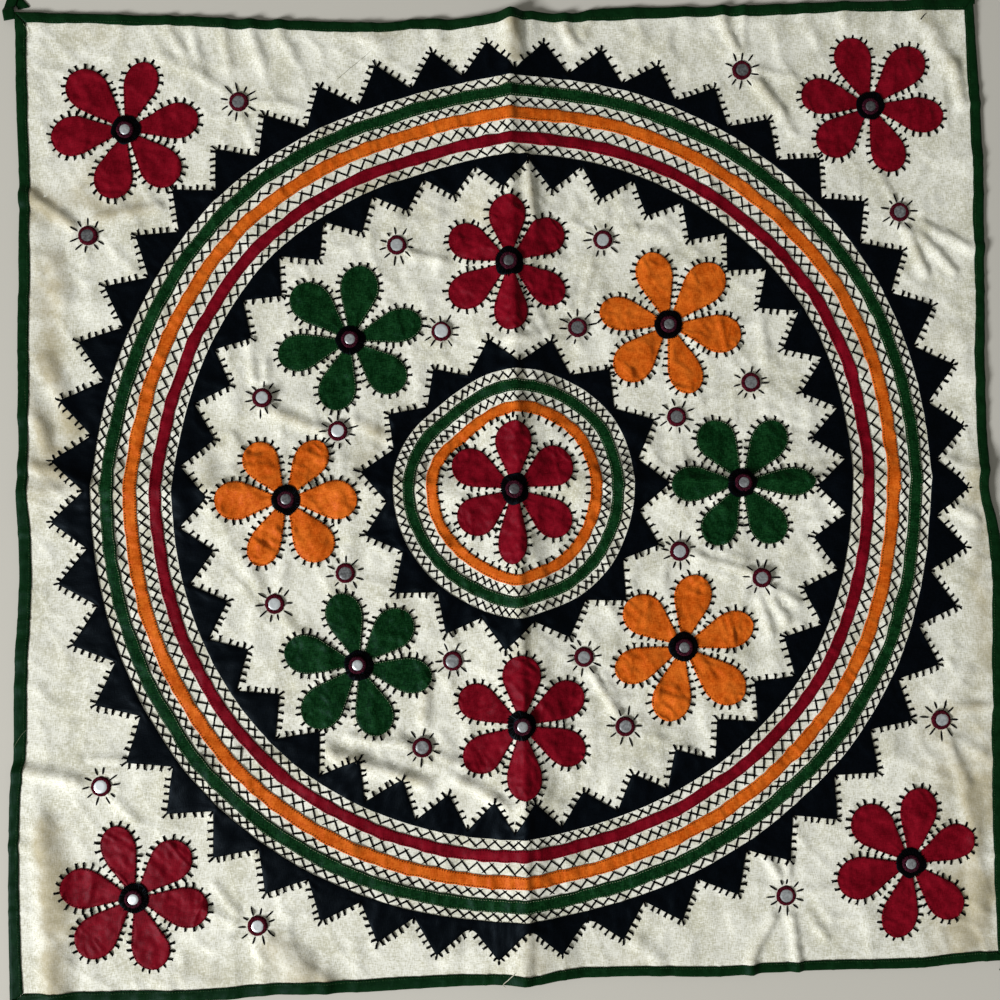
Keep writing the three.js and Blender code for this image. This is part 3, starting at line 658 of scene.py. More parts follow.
def make_ground():
    """Closed cloth over the square: a fine top, an underside of every third grid line, and a
    wall of one face to each underside cell round the edge. One grid line follows the crest of
    each of the two higher standing creases."""
    half = SIDE_HALF - BINDING_THICK - SEAM_GAP
    lines_x = even_lines([-half, CREASE_X, half], TOP_CELLS)
    lines_y = even_lines([-half, CREASE_Y, half], TOP_CELLS)
    u, v = np.meshgrid(lines_x, lines_y)
    x, y = place(u, v)
    top = in_metres(x, y, rim_relief(u, v) + rim_lift(u, v) + CLOTH_THICK)
    step = TOP_CELLS // UNDER_CELLS
    u, v = u[::step, ::step], v[::step, ::step]
    low = np.maximum(rim_relief(u, v) - UNDER_DROP, 0) + rim_lift(u, v)
    under = in_metres(x[::step, ::step], y[::step, ::step], low)
    size, small = TOP_CELLS + 1, UNDER_CELLS + 1
    faces = [grid_faces(size, size), grid_faces(small, small)[:, ::-1] + size * size]
    number = np.arange(size * size).reshape(size, size)
    below = np.arange(small * small).reshape(small, small) + size * size
    sides = ((number[0], below[0], 1), (number[-1], below[-1], -1),
             (number[:, 0], below[:, 0], -1), (number[:, -1], below[:, -1], 1))
    for above, beneath, way in sides:
        upper = [above[k:k + TOP_CELLS:step] for k in range(step + 1)]
        wall = np.stack([*upper, beneath[1:], beneath[:-1]], axis=-1)
        faces.append(wall[:, ::way])
    ground = make_piece("ground", np.concatenate([top.reshape(-1, 3), under.reshape(-1, 3)]),
                        faces, cream.material)
    # Darkening for the cream finish: dirt and painted shade along the folds, and in the stain and
    # shade patches.
    soil = np.zeros(np.shape(x))
    for fold in (*CREASES, *FOLDS):
        soil = np.maximum(soil, fold["soil"] * fold_height(fold, x, y))
    for darkening in STAINS_AND_SHADE:
        away = ((x - darkening["x"]) / darkening["wide"]) ** 2 + ((y - darkening["y"]) / darkening["tall"]) ** 2
        soil += darkening["dark"] * np.exp(-away)
    store(ground, "soil", np.concatenate([soil.ravel(), np.zeros(small * small)]))
    return ground


ground = make_ground()
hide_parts("ground_cloth")

# ------------------------------------------------------------------------ saw-tooth rings
# Three rings of black cotton. One edge of each is a plain circle under the herringbone; the
# other is snipped and turned under into a row of teeth, and sewn down all round.

PATCH_THICK = 0.7
PATCH_BASE = CLOTH_THICK + SEAM_GAP
TURNED_EDGE = 1.0  # width over which a turned edge rounds over
SLACK_FROM = 3.0  # sewn cloth is fully slack this far inside its edges
COCKLE_SIZE = 8.0
SWELL_SIZE = 21.0
NET_SIZE = 19.0  # of the net of fine creases
DEEPEST = 0.3  # share of its thickness by which slack cloth may sink

DRIFT = np.dtype([("at", float), ("out", float)])
TOOTH = np.dtype([("at", float), ("turn", float), ("reach", float)])

# How far the hand-drawn rings stray from true circles, by direction in degrees. turn: how far
# the teeth stand round from even spacing, in degrees. reach: how much further out they end.
BAND_DRIFT = np.array([(0, -3.5), (30, 3.5), (50, 2), (75, 0.5), (90, -2.5), (105, -7.5),
                       (120, -5.5), (135, -2.5), (150, -4.5), (165, -5), (180, -2.5), (200, -0.5),
                       (225, 3), (250, 2), (270, 0), (285, -4), (310, -4.5), (330, -1.5),
                       (345, -3), (360, -3.5)], DRIFT)
MIDDLE_DRIFT = np.array([(0, -2.5), (15, -1), (35, 1.5), (60, 1.5), (85, 1.5), (100, -0.5),
                         (120, -5.5), (133, -6), (150, -1.5), (165, 1), (185, 0), (225, -1.5),
                         (245, -0.5), (260, 2.5), (270, 4), (282, 1), (300, 0.5), (320, -1),
                         (345, -3), (360, -2.5)], DRIFT)
OUTER_TEETH = np.array([(0, -0.2, -1), (25, 0.4, 7), (45, 1, 2.5), (62, 1.8, 1), (86, 1.3, -1),
                        (105, 0.2, -4), (120, 0.4, -2), (135, 0.1, 0), (150, -0.4, 0),
                        (168, -0.5, 2), (185, -0.8, 1.5), (205, -0.6, 5), (225, -0.1, 8),
                        (242, -0.2, 5), (262, -0.9, 4), (285, -0.6, -3), (300, -0.5, -1.5),
                        (320, -0.2, -0.5), (340, 0.1, 1), (360, -0.2, -1)], TOOTH)
INNER_TEETH = np.array([(0, 1.7, -3), (15, 0.8, -1), (30, -0.1, 1), (45, -0.7, 4), (60, -1.2, 3),
                        (95, -2, 0), (120, -2.2, -3.5), (137, -1.8, -1), (150, -1.3, -1.5),
                        (163, -0.8, -3.5), (178, 1.5, -0.5), (195, 2.2, -1.7), (210, 2.7, 1),
                        (226, 3.8, -0.5), (240, 2.9, -2), (264, 1.1, 0.5), (276, -1.2, 0),
                        (288, -0.8, -3), (300, -1, -5), (315, -0.5, -2.5), (330, 0.5, -0.5),
                        (345, 1.1, -2.5), (360, 1.7, -3)], TOOTH)
MIDDLE_TEETH = np.array([(0, -1, 1), (15, -1.3, 3.5), (35, -0.4, 4), (50, 0.2, 2.5), (80, 0.3, 3.2),
                         (105, -0.3, 1), (120, -0.6, -4), (145, 0.4, -4.5), (165, 0.6, 1.5),
                         (190, 0, 2.3), (215, -0.4, 4), (240, -0.2, 4), (260, -1.8, 5.2),
                         (285, -2, 1.5), (300, -1.5, 2.5), (330, -0.3, 0.5), (360, -1, 1)], TOOTH)
RINGS = {  # band, valley and tip are radii; first is the direction of the first tip, in degrees
    "sawtooth_outer": dict(teeth=47, band=394.3, valley=400.5, tip=428, first=7.1,
                           cut=OUTER_TEETH, flat=(0.036, 2.64)),
    "sawtooth_inner": dict(teeth=38, band=319.8, valley=314.5, tip=286, first=-1.7,
                           cut=INNER_TEETH, flat=(0.04, 1.98)),
    "sawtooth_centre": dict(teeth=15, band=113.5, valley=120, tip=143, first=3,
                            cut=MIDDLE_TEETH, flat=(0.034, 0.83)),
}
BETWEEN_BANDS = 200.0  # a radius between the band round the middle and the wide band
TOOTH_STATIONS = 10  # along each side of a tooth
# The valleys of the outer ring are worn round near the lower end of the standing crease.
WORN_LOW = 390.0
WORN_HIGH = 416.0
WORN_COSINE = 0.97  # of the widest angle from straight down


def circle(radius, degrees):
    """Plan points at a radius from the middle, moved out or in by the rings' drift there."""
    at = degrees % 360
    drift = np.where(np.broadcast_to(radius, np.shape(degrees)) > BETWEEN_BANDS,
                     through(BAND_DRIFT, "out", at), through(MIDDLE_DRIFT, "out", at))
    return heading(np.radians(degrees)) * (radius + drift)[..., None]


def tooth_corners(ring):
    """Plan corners of the toothed edge: tip and valley by turns, evenly spaced but for drift."""
    even = ring["first"] + np.arange(2 * ring["teeth"]) * 180 / ring["teeth"]
    at = even % 360
    tips = np.arange(len(even)) % 2 == 0
    radius = np.where(tips, ring["tip"] + through(ring["cut"], "reach", at), ring["valley"])
    angle = np.radians(even + through(ring["cut"], "turn", at))
    drift = np.where(tips, 0, lengths(circle(ring["band"], at)) - ring["band"])
    return heading(angle) * (radius + drift)[:, None]


def plan_area(outline):
    """Area inside a closed plan line: half the sum of its corners' cross products."""
    turned = np.roll(outline, -1, axis=0)
    return abs(np.sum(outline[:, 0] * turned[:, 1] - outline[:, 1] * turned[:, 0])) / 2


def run_along(line):
    """Distance along a plan line to each of its points."""
    return np.append(0, np.cumsum(lengths(np.diff(line, axis=0))))


def turned_section(width, inner):
    """Points across a sewn patch, as distances from its first edge and shares of its thickness:
    up over the rounded first edge, across, down over the second, and back underneath."""
    squeeze = np.minimum(width / (3 * TURNED_EDGE), 1)[:, None]
    climb = TURNED_EDGE * squeeze * np.array([0, 0.1, 0.4, 1])
    middle = np.linspace(0, 1, inner + 2)[1:-1]
    across = climb[:, -1:] + middle * (width[:, None] - 2 * climb[:, -1:])
    rows = [climb, across, width[:, None] - climb[:, ::-1], width[:, None] - climb[:, 1:2],
            across[:, ::-1], climb[:, 1:2]]
    share = [0.3, 0.66, 0.92, 1, *[1] * inner, 1, 0.92, 0.66, 0.3, 0, *[0] * inner, 0]
    return np.concatenate(rows, axis=1), np.array(share)


def sewn_patch(first, second, inner, seed, cockle, swell, crumple=0.0, eased=False, held=1.0):
    """Points of a strip of cloth between two plan curves, sewn down along both. Away from its
    turned edges the cloth is a little slack: short cockles, a longer swell and a net of fine
    creases lift it, but not where held is 0. In an eased strip the cockles run across."""
    width = lengths(second - first)
    across, share = turned_section(width, inner)
    step = (across / np.maximum(width, 1e-6)[:, None])[..., None]
    spot = first[:, None] + (second - first)[:, None] * step
    x, y = spot[..., 0], spot[..., 1]
    free = np.clip(np.minimum(across, width[:, None] - across) / SLACK_FROM, 0, 1) * (share == 1)
    way = (run_along(first)[:, None], 0.25 * across) if eased else (x, y)
    slack = cockle * ripple(*way, COCKLE_SIZE, seed)
    slack = slack + swell * (1 + ripple(x, y, SWELL_SIZE, seed + 1))
    slack = slack + crumple * wrinkle(x, y, NET_SIZE, seed + 2)
    slack = np.maximum(slack * np.reshape(held, (-1, 1)), -DEEPEST * PATCH_THICK)
    return lay(x, y, PATCH_BASE + share * PATCH_THICK + free * slack)


def end_caps(rows, columns):
    """The two faces that close a skin of rows of points at its first and its last row."""
    return np.stack([np.arange(columns), np.arange(columns)[::-1] + (rows - 1) * columns])


def strip_faces(points, closed):
    """Faces of a patch: a skin round every cross-section, and a cap on each end unless the
    strip closes into a ring."""
    rows, columns = points.shape[:2]
    faces = [grid_faces(rows, columns, round_rows=closed, round_columns=True)]
    if not closed:
        faces.append(end_caps(rows, columns))
    return faces


def cotton(name, colour, faded, grain=1.0):
    """Dyed cotton: a colour with cloudy fading, streaked by its slubs, over a fine weave."""
    finish = Finish(name, Roughness=0.5, Specular_IOR_Level=0.055,
                    Specular_Tint=shade(190, 225, 255))
    fine, slubs = yarns(finish)
    fading = finish.cloud(finish.place(), 60, 2.0, 0.5).between(0.35, 0.72)
    weave = (slubs - 1.0) * (0.7 * grain) + (fine - 1.0) * (1.1 * grain)
    share = fading * 0.35 + weave + 0.19
    finish.give(Base_Color=finish.blend(shade(*colour), shade(*faded), share))
    finish.give(Normal=finish.bump(fine + slubs, 0.14, 0.6))
    return finish.material


black_cotton = cotton("black_cotton", (1, 2, 4), (5, 8, 14))
for seed, (name, ring) in enumerate(RINGS.items()):
    corners = tooth_corners(ring)
    ends = np.roll(corners, -1, axis=0)
    steps = np.arange(TOOTH_STATIONS)[None, :, None] / TOOTH_STATIONS
    toothed = (corners[:, None] * (1 - steps) + ends[:, None] * steps).reshape(-1, 2)
    nearby = [np.roll(toothed, step, axis=0) for step in (-2, -1, 0, 1, 2)]
    out = lengths(toothed)
    worn = (toothed[:, 1] < -WORN_COSINE * out) & (out < WORN_HIGH) & (out > WORN_LOW)
    toothed = np.where(worn[:, None], np.mean(nearby, axis=0), toothed)
    plain = circle(ring["band"], np.degrees(np.arctan2(toothed[:, 1], toothed[:, 0])))
    points = sewn_patch(plain, toothed, inner=5, seed=40 + seed, cockle=0.16, swell=0.2,
                        crumple=0.4)
    black = make_piece(f"{name}_cloth", points, strip_faces(points, True), black_cotton)
    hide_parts(name)
    area = abs(plan_area(toothed) - np.pi * ring["band"] ** 2) * MM ** 2

# ----------------------------------------------------------------------------- sewn tapes
# Rings of bought bias tape: green, orange and red in the wide band, green and orange round
# the middle. Each is eased flat round its curve, so it puckers across, and machined down
# along both edges.

TAPES = {
    "tape_green": dict(colour="green", radius=380, wide=12.2),
    "tape_orange": dict(colour="orange", radius=358.5, wide=12.4),
    "tape_red": dict(colour="red", radius=335, wide=11.2),
    "tape_centre_green": dict(colour="green", radius=98.3, wide=11),
    "tape_centre_orange": dict(colour="orange", radius=77.5, wide=10.8),
}
TAPE_STEP = 2.0
COTTONS = {
    "green": cotton("green_cotton", (2, 31, 7), (21, 64, 30), grain=1.6),
    "orange": cotton("orange_cotton", (180, 73, 6), (234, 124, 40), grain=0.9),
    "red": cotton("red_cotton", (88, 1, 12), (144, 16, 36), grain=0.6),
}


def tape_edges(tape, degrees, seed):
    """The two plan edges of a tape, whose width wanders a little along it."""
    arc = np.radians(degrees) * tape["radius"]
    wander = 0.28 * ripple(arc, 0, 60, seed)
    waver = 0.22 * ripple(arc, 0, 17, seed + 1)
    half = tape["wide"] / 2
    return (circle(tape["radius"] - half + wander - waver, degrees),
            circle(tape["radius"] + half + wander + waver, degrees))


for seed, (name, tape) in enumerate(TAPES.items()):
    count = int(2 * np.pi * tape["radius"] / TAPE_STEP)
    degrees = np.arange(count) * 360 / count
    inner_edge, outer_edge = tape_edges(tape, degrees, 60 + 3 * seed)
    points = sewn_patch(inner_edge, outer_edge, inner=3, seed=80 + 2 * seed, cockle=0.34,
                        swell=0.1, eased=True)
    ribbon = make_piece(f"{name}_ring", points, strip_faces(points, True), COTTONS[tape["colour"]])
    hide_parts(name)

# -------------------------------------------------------------------------------- flowers
# Thirteen flowers cut from single cloths, red, green or orange, with six round-ended petals
# each. Their edges are turned under by hand, so no two petals are quite alike.

PETALS = 6
PETAL_ROOT = 7.0  # petals start here, under the black centre
NECK_AT = 12.0
NECK_HALF = 5.2
WIDEST_AT = 0.71  # share of a petal's length, where its round end starts
SIDES_OPEN = 0.84  # share of the way there at which the sides would reach the full width
SHOULDER = 1.6  # how softly the sides run into the end
PETAL_STATIONS = 44
HELD_ROOT = 0.12  # share of its stations at which the black round holds a petal flat
HELD_BLEND = 0.06
RIM_STATIONS = 60  # the same edges, drawn finer for the stitches

# tips: the petals' directions, in degrees. long: their lengths from the flower's middle. wide:
# their half widths. crumple: how strongly the cloth is creased.
FLOWERS = {
    "top_left": dict(colour="red", x=-357, y=347, tips=(10, 72, 132, 186, 255, 312),
                     long=(68.5, 67, 73, 69.5, 67, 68),
                     wide=(17.2, 16.3, 19.3, 19.3, 18, 19.3), crumple=0.3),
    "top_right": dict(colour="red", x=347, y=361, tips=(47, 109, 168, 223, 291, 349),
                      long=(73, 68.5, 67, 65, 67, 71),
                      wide=(18.5, 18, 17.5, 19, 17, 17), crumple=0.17),
    "bottom_left": dict(colour="red", x=-356.5, y=-363, tips=(44, 107, 167, 224, 288, 348),
                        long=(66.5, 67.5, 67, 69, 67.5, 68.5),
                        wide=(19, 16.5, 18.5, 19, 17.5, 18.5), crumple=0.38),
    "bottom_right": dict(colour="red", x=359.5, y=-353.5, tips=(23, 79, 134, 194, 257, 312),
                         long=(64, 70, 70, 71, 70, 65.5),
                         wide=(16.2, 17.5, 19.7, 19.2, 17, 17), crumple=0.25),
    "north": dict(colour="red", x=-1, y=215, tips=(35, 92, 152, 214, 271, 326),
                  long=(61.5, 63.5, 62.5, 65.5, 64, 61),
                  wide=(17.5, 17.5, 17.2, 17.3, 16.2, 16.3), crumple=0.42),
    "south": dict(colour="red", x=0, y=-215.5, tips=(28, 88, 151, 216, 273, 332),
                  long=(65.5, 64, 63.5, 63.5, 68.5, 66),
                  wide=(17.5, 18.2, 17, 17.3, 16.5, 17), crumple=0.85),
    "middle": dict(colour="red", x=-1, y=2.5, tips=(29, 91, 153, 216, 267, 322),
                   long=(60.5, 63, 63.5, 61.5, 70, 64),
                   wide=(19.5, 17.3, 17.8, 18.5, 13.8, 17.8), crumple=0.7),
    "north_west": dict(colour="green", x=-151, y=145, tips=(17, 78, 134, 193, 254, 316),
                       long=(69, 71, 71.5, 69, 67.5, 66),
                       wide=(16.3, 18.5, 19, 17.7, 18, 19), crumple=0.4),
    "east": dict(colour="green", x=211.5, y=3.5, tips=(1, 54, 117, 179, 242, 303),
                 long=(69, 68.5, 65.5, 66, 64, 65.5),
                 wide=(13.8, 17.3, 19, 17, 17.5, 18.3), crumple=0.6),
    "south_west": dict(colour="green", x=-148.5, y=-157.5, tips=(45, 105, 166, 227, 287, 347),
                       long=(66.5, 69, 70, 71.5, 67, 68.5),
                       wide=(19, 17.5, 18.5, 19.5, 18, 16.8), crumple=0.6),
    "north_east": dict(colour="orange", x=148, y=154.5, tips=(47, 104, 166, 225, 288, 348),
                       long=(74, 70.5, 66.5, 68.5, 68.5, 69.5),
                       wide=(19, 17.5, 16.3, 19, 16.5, 18.3), crumple=0.7),
    "west": dict(colour="orange", x=-212.5, y=-3, tips=(58, 123, 179, 242, 302, 359),
                 long=(63, 61.5, 66, 66.5, 66, 65.5),
                 wide=(16, 17, 18.2, 15.3, 19, 18.5), crumple=1.0),
    "south_east": dict(colour="orange", x=153, y=-148, tips=(17, 78, 139, 200, 256, 316),
                       long=(69.5, 68, 67, 68, 70.5, 73),
                       wide=(17, 17.8, 19.3, 16.5, 18.5, 19), crumple=0.9),
}


def centre_of(sewn):
    """Plan point of the middle of a flower or of a small mirror."""
    return np.array([sewn["x"], sewn["y"]])


def petal_width(along, long, wide):
    """Half width of a petal at a distance from the flower's middle: straight sides that open
    from the neck, running smoothly into a round end."""
    widest = WIDEST_AT * long
    side = NECK_HALF + (along - NECK_AT) * (wide - NECK_HALF) / (SIDES_OPEN * (widest - NECK_AT))
    reach = np.clip((along - widest) / (long - widest), 0, 1)
    end = wide * np.sqrt(1 - reach ** 2)
    soft = SHOULDER * np.minimum(end / wide, 1)
    closer = 0.5 * (side + end - np.hypot(side - end, soft))
    return np.maximum(np.minimum(closer, end), 0)


def petal_edges(flower, number, stations):
    """The two plan edges of a petal, right and left of its axis, from its root to its tip.
    Stations gather toward the tip, where the end is round."""
    long, wide = flower["long"][number], flower["wide"][number]
    share = np.linspace(0, 1, stations)
    along = long - (long - PETAL_ROOT) * (1 - share) ** 2
    rng = np.random.default_rng(int(abs(flower["x"]) + 7 * number))
    bend = rng.normal(0, 0.9) * (along / long) ** 2
    half = petal_width(along, long, wide)
    way = heading(np.radians(flower["tips"][number]))
    side = np.array([-way[1], way[0]])
    middle = centre_of(flower) + along[:, None] * way + bend[:, None] * side
    return middle - half[:, None] * side, middle + half[:, None] * side


def rim_of(right, left):
    """One line up the right edge of a petal and down the left."""
    return np.concatenate([right[:-1], left[::-1]])


for seed, (name, flower) in enumerate(FLOWERS.items()):
    shells, faces, area = [], [], 0.0
    for number in range(PETALS):
        right, left = petal_edges(flower, number, PETAL_STATIONS)
        free = np.clip((np.linspace(0, 1, PETAL_STATIONS) - HELD_ROOT) / HELD_BLEND, 0, 1)
        points = sewn_patch(right, left, inner=14, seed=100 + 7 * seed + number, cockle=0.22,
                            swell=0.26, crumple=0.6 * flower["crumple"], held=free)
        faces += [group + sum(shell.shape[0] for shell in shells)
                  for group in strip_faces(points, False)]
        shells.append(points.reshape(-1, 3))
        area += plan_area(np.concatenate([right, left[::-1]]))
    bloom = make_piece(f"petals_{name}", np.concatenate(shells), faces, COTTONS[flower["colour"]])
    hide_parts(f"flower_{flower['colour']}_{name}")
    area * MM ** 2

# -------------------------------------------------------------- black centres and mirrors
# Each flower has a round of black cotton over its middle. On it sits a small round mirror,
# held by a ring of maroon thread that is wrapped over the glass's edge.

CENTRE_RADIUS = 13.5
CENTRE_BASE = PATCH_BASE + PATCH_THICK + SEAM_GAP
GLASS_BASE = CENTRE_BASE + PATCH_THICK + SEAM_GAP
# How bright each glass is painted: a painted reflection.
CENTRE_REFLECTIONS = dict(top_left=0.55, top_right=0.0, bottom_left=1.35, bottom_right=0.35, north=0.05,
                    south=0.5, middle=0.05, north_west=0.45, east=0.3, south_west=0.7,
                    north_east=0.15, west=0.15, south_east=0.25)
ROUND_STATIONS = 48
GLASS_STATIONS = 28
GLASS_RINGS = 6


def highest_bed(x, y, radius):
    """Highest place of the ground under a round stiff piece."""
    way = heading(np.linspace(0, 2 * np.pi, 24)).T
    return max(relief(x + out * way[0], y + out * way[1]).max() for out in (1, radius))


def thread_ring(x, y, bed, inner, outer, high, wraps, seed):
    """Ring of threads wrapped side by side: a domed band whose surface rises and falls once
    for each wrap, with an outer edge that is a little uneven."""
    count = 3 * wraps
    turn = np.arange(count)[:, None] * 2 * np.pi / count
    over = np.linspace(0, np.pi, 7)[None, :]
    rng = np.random.default_rng(seed)
    wrap = np.cos(wraps * turn + 0.5 * np.cos(over))
    uneven = np.repeat(rng.normal(0, 0.16, wraps), 3)[:, None]
    middle, half = (inner + outer) / 2, (outer - inner) / 2
    out = middle - (half + uneven + 0.12 * wrap) * np.cos(over)
    rise = bed + (high + 0.18 * wrap) * np.sin(over)
    return in_metres(x + out * np.cos(turn), y + out * np.sin(turn), rise)


def joined(shells):
    """Points and faces of many rings of thread, joined into one mesh."""
    points, faces, start = [], [], 0
    for shell in shells:
        rows, columns = shell.shape[:2]
        faces.append(grid_faces(rows, columns, True, True) + start)
        points.append(shell.reshape(-1, 3))
        start += rows * columns
    return np.concatenate(points), [np.concatenate(faces)]


def mirror_disc(x, y, bed, radius, seed):
    """Round glass 0.8 mm thick with a rubbed rim, tipped from level by a degree or two: rings
    of points from the middle of its underside to the middle of its face."""
    angle = np.arange(GLASS_STATIONS)[:, None] * 2 * np.pi / GLASS_STATIONS
    out = radius * np.array([0.02, 1, 1, 0.96, 0.5, 0.02])
    across, away = out * np.cos(angle), out * np.sin(angle)
    lean_x, lean_y = np.random.default_rng(seed).normal(0, 0.02, 2)
    rise = np.array([0, 0, 0.55, 0.8, 0.8, 0.8]) + radius * 0.03
    return in_metres(x + across, y + away, bed + rise + across * lean_x + away * lean_y)


def glass_faces(count):
    """Faces of so many mirrors: rings of four-cornered faces, and a cap on both sides."""
    start = (np.arange(count) * GLASS_STATIONS * GLASS_RINGS)[:, None, None]
    skin = grid_faces(GLASS_STATIONS, GLASS_RINGS, round_rows=True)[None] + start
    first = np.arange(GLASS_STATIONS) * GLASS_RINGS
    caps = np.stack([first, first[::-1] + GLASS_RINGS - 1])[None] + start
    return [skin.reshape(-1, 4), caps.reshape(-1, GLASS_STATIONS)]


def sewn_mirrors(where, rings, thread_finish, discs, painted_reflections):
    """Two pieces for many mirrors: their rings of thread, and their glass, which is returned
    and keeps one painted reflection brightness for each mirror on all of its points."""
    maroon = make_piece(f"mirror_rings_{where}", *joined(rings), thread_finish)
    points = np.stack(discs)
    glass = make_piece(f"mirrors_{where}", points, glass_faces(len(discs)), mirror.material)
    store(glass, "painted_reflection", np.repeat(painted_reflections, GLASS_STATIONS * GLASS_RINGS))
    return glass


def thread(name, colour, light):
    """Cotton thread: a colour that lightens along its worn fibres, with a fine twist."""
    finish = Finish(name, Roughness=0.8, Specular_IOR_Level=0.02)
    worn = finish.cloud(finish.place(), 900, 2.0)
    fibres = finish.cloud(finish.place(), 3200, 1.0)
    finish.give(Base_Color=finish.blend(shade(*colour), shade(*light), worn.between(0.4, 0.75)))
    finish.give(Normal=finish.bump(fibres, 0.15, 0.5))
    return finish.material


# The glass's colour is a painted reflection: each mirror's stored brightness and blotchy smudges
# take it from dark grey to near white, standing in for what it reflects.
mirror = Finish("mirror_glass", Metallic=0.45, Roughness=0.35)
smudges_and_glints = mirror.cloud(mirror.place(), 420, 3.0, 0.6)
painted_reflection = mirror.node("ShaderNodeAttribute", {"attribute_name": "painted_reflection"}, {}, output="Fac")
reflection_brightness = (painted_reflection * 0.9 + smudges_and_glints * 0.7 - 0.25).between(0, 1.1)
mirror.give(Base_Color=mirror.blend(shade(72, 72, 76), shade(226, 234, 240), reflection_brightness))
maroon_thread = thread("maroon_thread", (48, 6, 17), (96, 24, 40))

centre_rings, centre_glass = [], []
for seed, (name, flower) in enumerate(FLOWERS.items()):
    x, y = flower["x"], flower["y"]
    turn = np.arange(ROUND_STATIONS) * 2 * np.pi / ROUND_STATIONS
    uneven = 0.55 * ripple(np.cos(turn) * 14, np.sin(turn) * 14, 16, 200 + seed)
    radius = CENTRE_RADIUS + uneven
    if name == "middle":  # cut longer than wide
        radius = radius + 2.6 * np.cos(turn - 1.75) ** 2 - 0.9
    shares = np.array([0, 0.3, 0.55, 0.78, 0.93, 0.985, 1.0, 0.985, 0.5, 0])
    rises = np.array([1, 1, 1, 1, 1, 0.8, 0.4, 0, 0, 0])
    out = radius[:, None] * shares
    plan_x, plan_y = x + out * np.cos(turn)[:, None], y + out * np.sin(turn)[:, None]
    slack = 0.18 * (rises == 1) * ripple(plan_x, plan_y, 9, 220 + seed)
    points = lay(plan_x, plan_y, CENTRE_BASE + rises * PATCH_THICK + slack)
    faces = [grid_faces(ROUND_STATIONS, len(shares), round_rows=True)]
    black = make_piece(f"round_{name}", points, faces, black_cotton, weld=True)
    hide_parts(f"centre_{name}")
    rng = np.random.default_rng(300 + seed)
    off_x, off_y = rng.normal(0, 0.6, 2)
    bed = highest_bed(x + off_x, y + off_y, 5) + GLASS_BASE
    centre_glass.append(mirror_disc(x + off_x, y + off_y, bed, radius=4.9, seed=320 + seed))
    centre_rings.append(thread_ring(x + off_x, y + off_y, bed - 0.2, inner=4.1, outer=8.2,
                                    high=1.4, wraps=22, seed=seed))

plum_thread = thread("plum_thread", (30, 7, 17), (82, 30, 48))
glass = sewn_mirrors("centres", centre_rings, plum_thread, centre_glass,
                     list(CENTRE_REFLECTIONS.values()))
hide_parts(*[f"mirror_{name}" for name in FLOWERS])

# ------------------------------------------------------------------ mirrors on the ground
# Twenty-four larger mirrors are sewn straight onto the ground, each in a thick ring of maroon
# thread with ten or eleven straight black stitches spread round it like rays.

GLASS_RADIUS = 6.7
RING_INNER = 4.6
RAY_FROM = 9.8
RAY_TO = 17.3
THREAD_FLAT = 0.65  # height of a pulled-down thread, as a share of its width


def tubes(start, end, thick, rise, arch, rings=5, sides=4):
    """Stitches of thread between plan points: flattened tubes that thin toward both ends. Each is
    as high as the cloth plus a rise, going from one to the other of a pair, plus an arch."""
    share = np.linspace(0, 1, rings)[None, :]
    x = start[:, :1] + (end - start)[:, :1] * share
    y = start[:, 1:] + (end - start)[:, 1:] * share
    centred = 2 * share - 1
    level = relief(x, y) + rise[0] * (1 - share) + rise[1] * share
    level = level + np.reshape(arch, (-1, 1)) * (1 - centred ** 2)
    way = unit(end - start)
    radius = np.reshape(thick, (-1, 1)) / 2 * (1 - 0.7 * np.abs(centred) ** 5)
    angle = (np.arange(sides) + 0.5) * 2 * np.pi / sides
    out, up = radius[..., None] * np.cos(angle), THREAD_FLAT * radius[..., None] * np.sin(angle)
    return in_metres(x[..., None] - way[:, 1, None, None] * out,
                     y[..., None] + way[:, 0, None, None] * out, level[..., None] + up)


def tube_faces(points):
    """Faces of many tubes: the skin of each and a cap on both ends."""
    count, rings, sides = points.shape[:3]
    start = (np.arange(count) * rings * sides)[:, None, None]
    skin = grid_faces(rings, sides, round_columns=True)[None] + start
    caps = end_caps(rings, sides)[None] + start
    return [skin.reshape(-1, 4), caps.reshape(-1, sides)]


def stitches(name, points, finish):
    """One piece of many tubes of thread."""
    made = make_piece(name, points, tube_faces(points), finish)


black_thread = thread("black_thread", (2, 2, 3), (8, 8, 9))
spot_rings, spot_glass, ray_starts, ray_ends = [], [], [], []
for seed, spot in enumerate(SPOTS):
    bed = highest_bed(spot["x"], spot["y"], 9) + CLOTH_THICK
    rng = np.random.default_rng(460 + seed)
    off_x, off_y = rng.normal(0, 0.35, 2)
    spot_glass.append(mirror_disc(spot["x"] + off_x, spot["y"] + off_y, bed,
                                  radius=GLASS_RADIUS, seed=400 + seed))
    inner = RING_INNER + rng.normal(0, 0.3)
    spot_rings.append(thread_ring(spot["x"], spot["y"], bed - 0.5, inner, SPOT_RADIUS,
                                  high=1.9, wraps=30, seed=430 + seed))
    count = rng.integers(10, 12)
    turn = (np.arange(count) + rng.uniform(-0.2, 0.2, count) + rng.uniform()) * 2 * np.pi / count
    lean = turn + rng.normal(0, 0.05, count)
    near = RAY_FROM + rng.normal(0, 0.5, count)
    far = RAY_TO + rng.normal(0, 1.1, count)
    ray_starts.append(centre_of(spot) + near[:, None] * heading(turn))
    ray_ends.append(centre_of(spot) + far[:, None] * heading(lean))

sewn_mirrors("ground", spot_rings, maroon_thread, spot_glass, SPOTS["painted_reflection"])
points = tubes(np.concatenate(ray_starts), np.concatenate(ray_ends), thick=1.75,
               rise=(CLOTH_THICK, CLOTH_THICK), arch=0.4, rings=6, sides=6)
stitches("mirror_rays", points, black_thread)

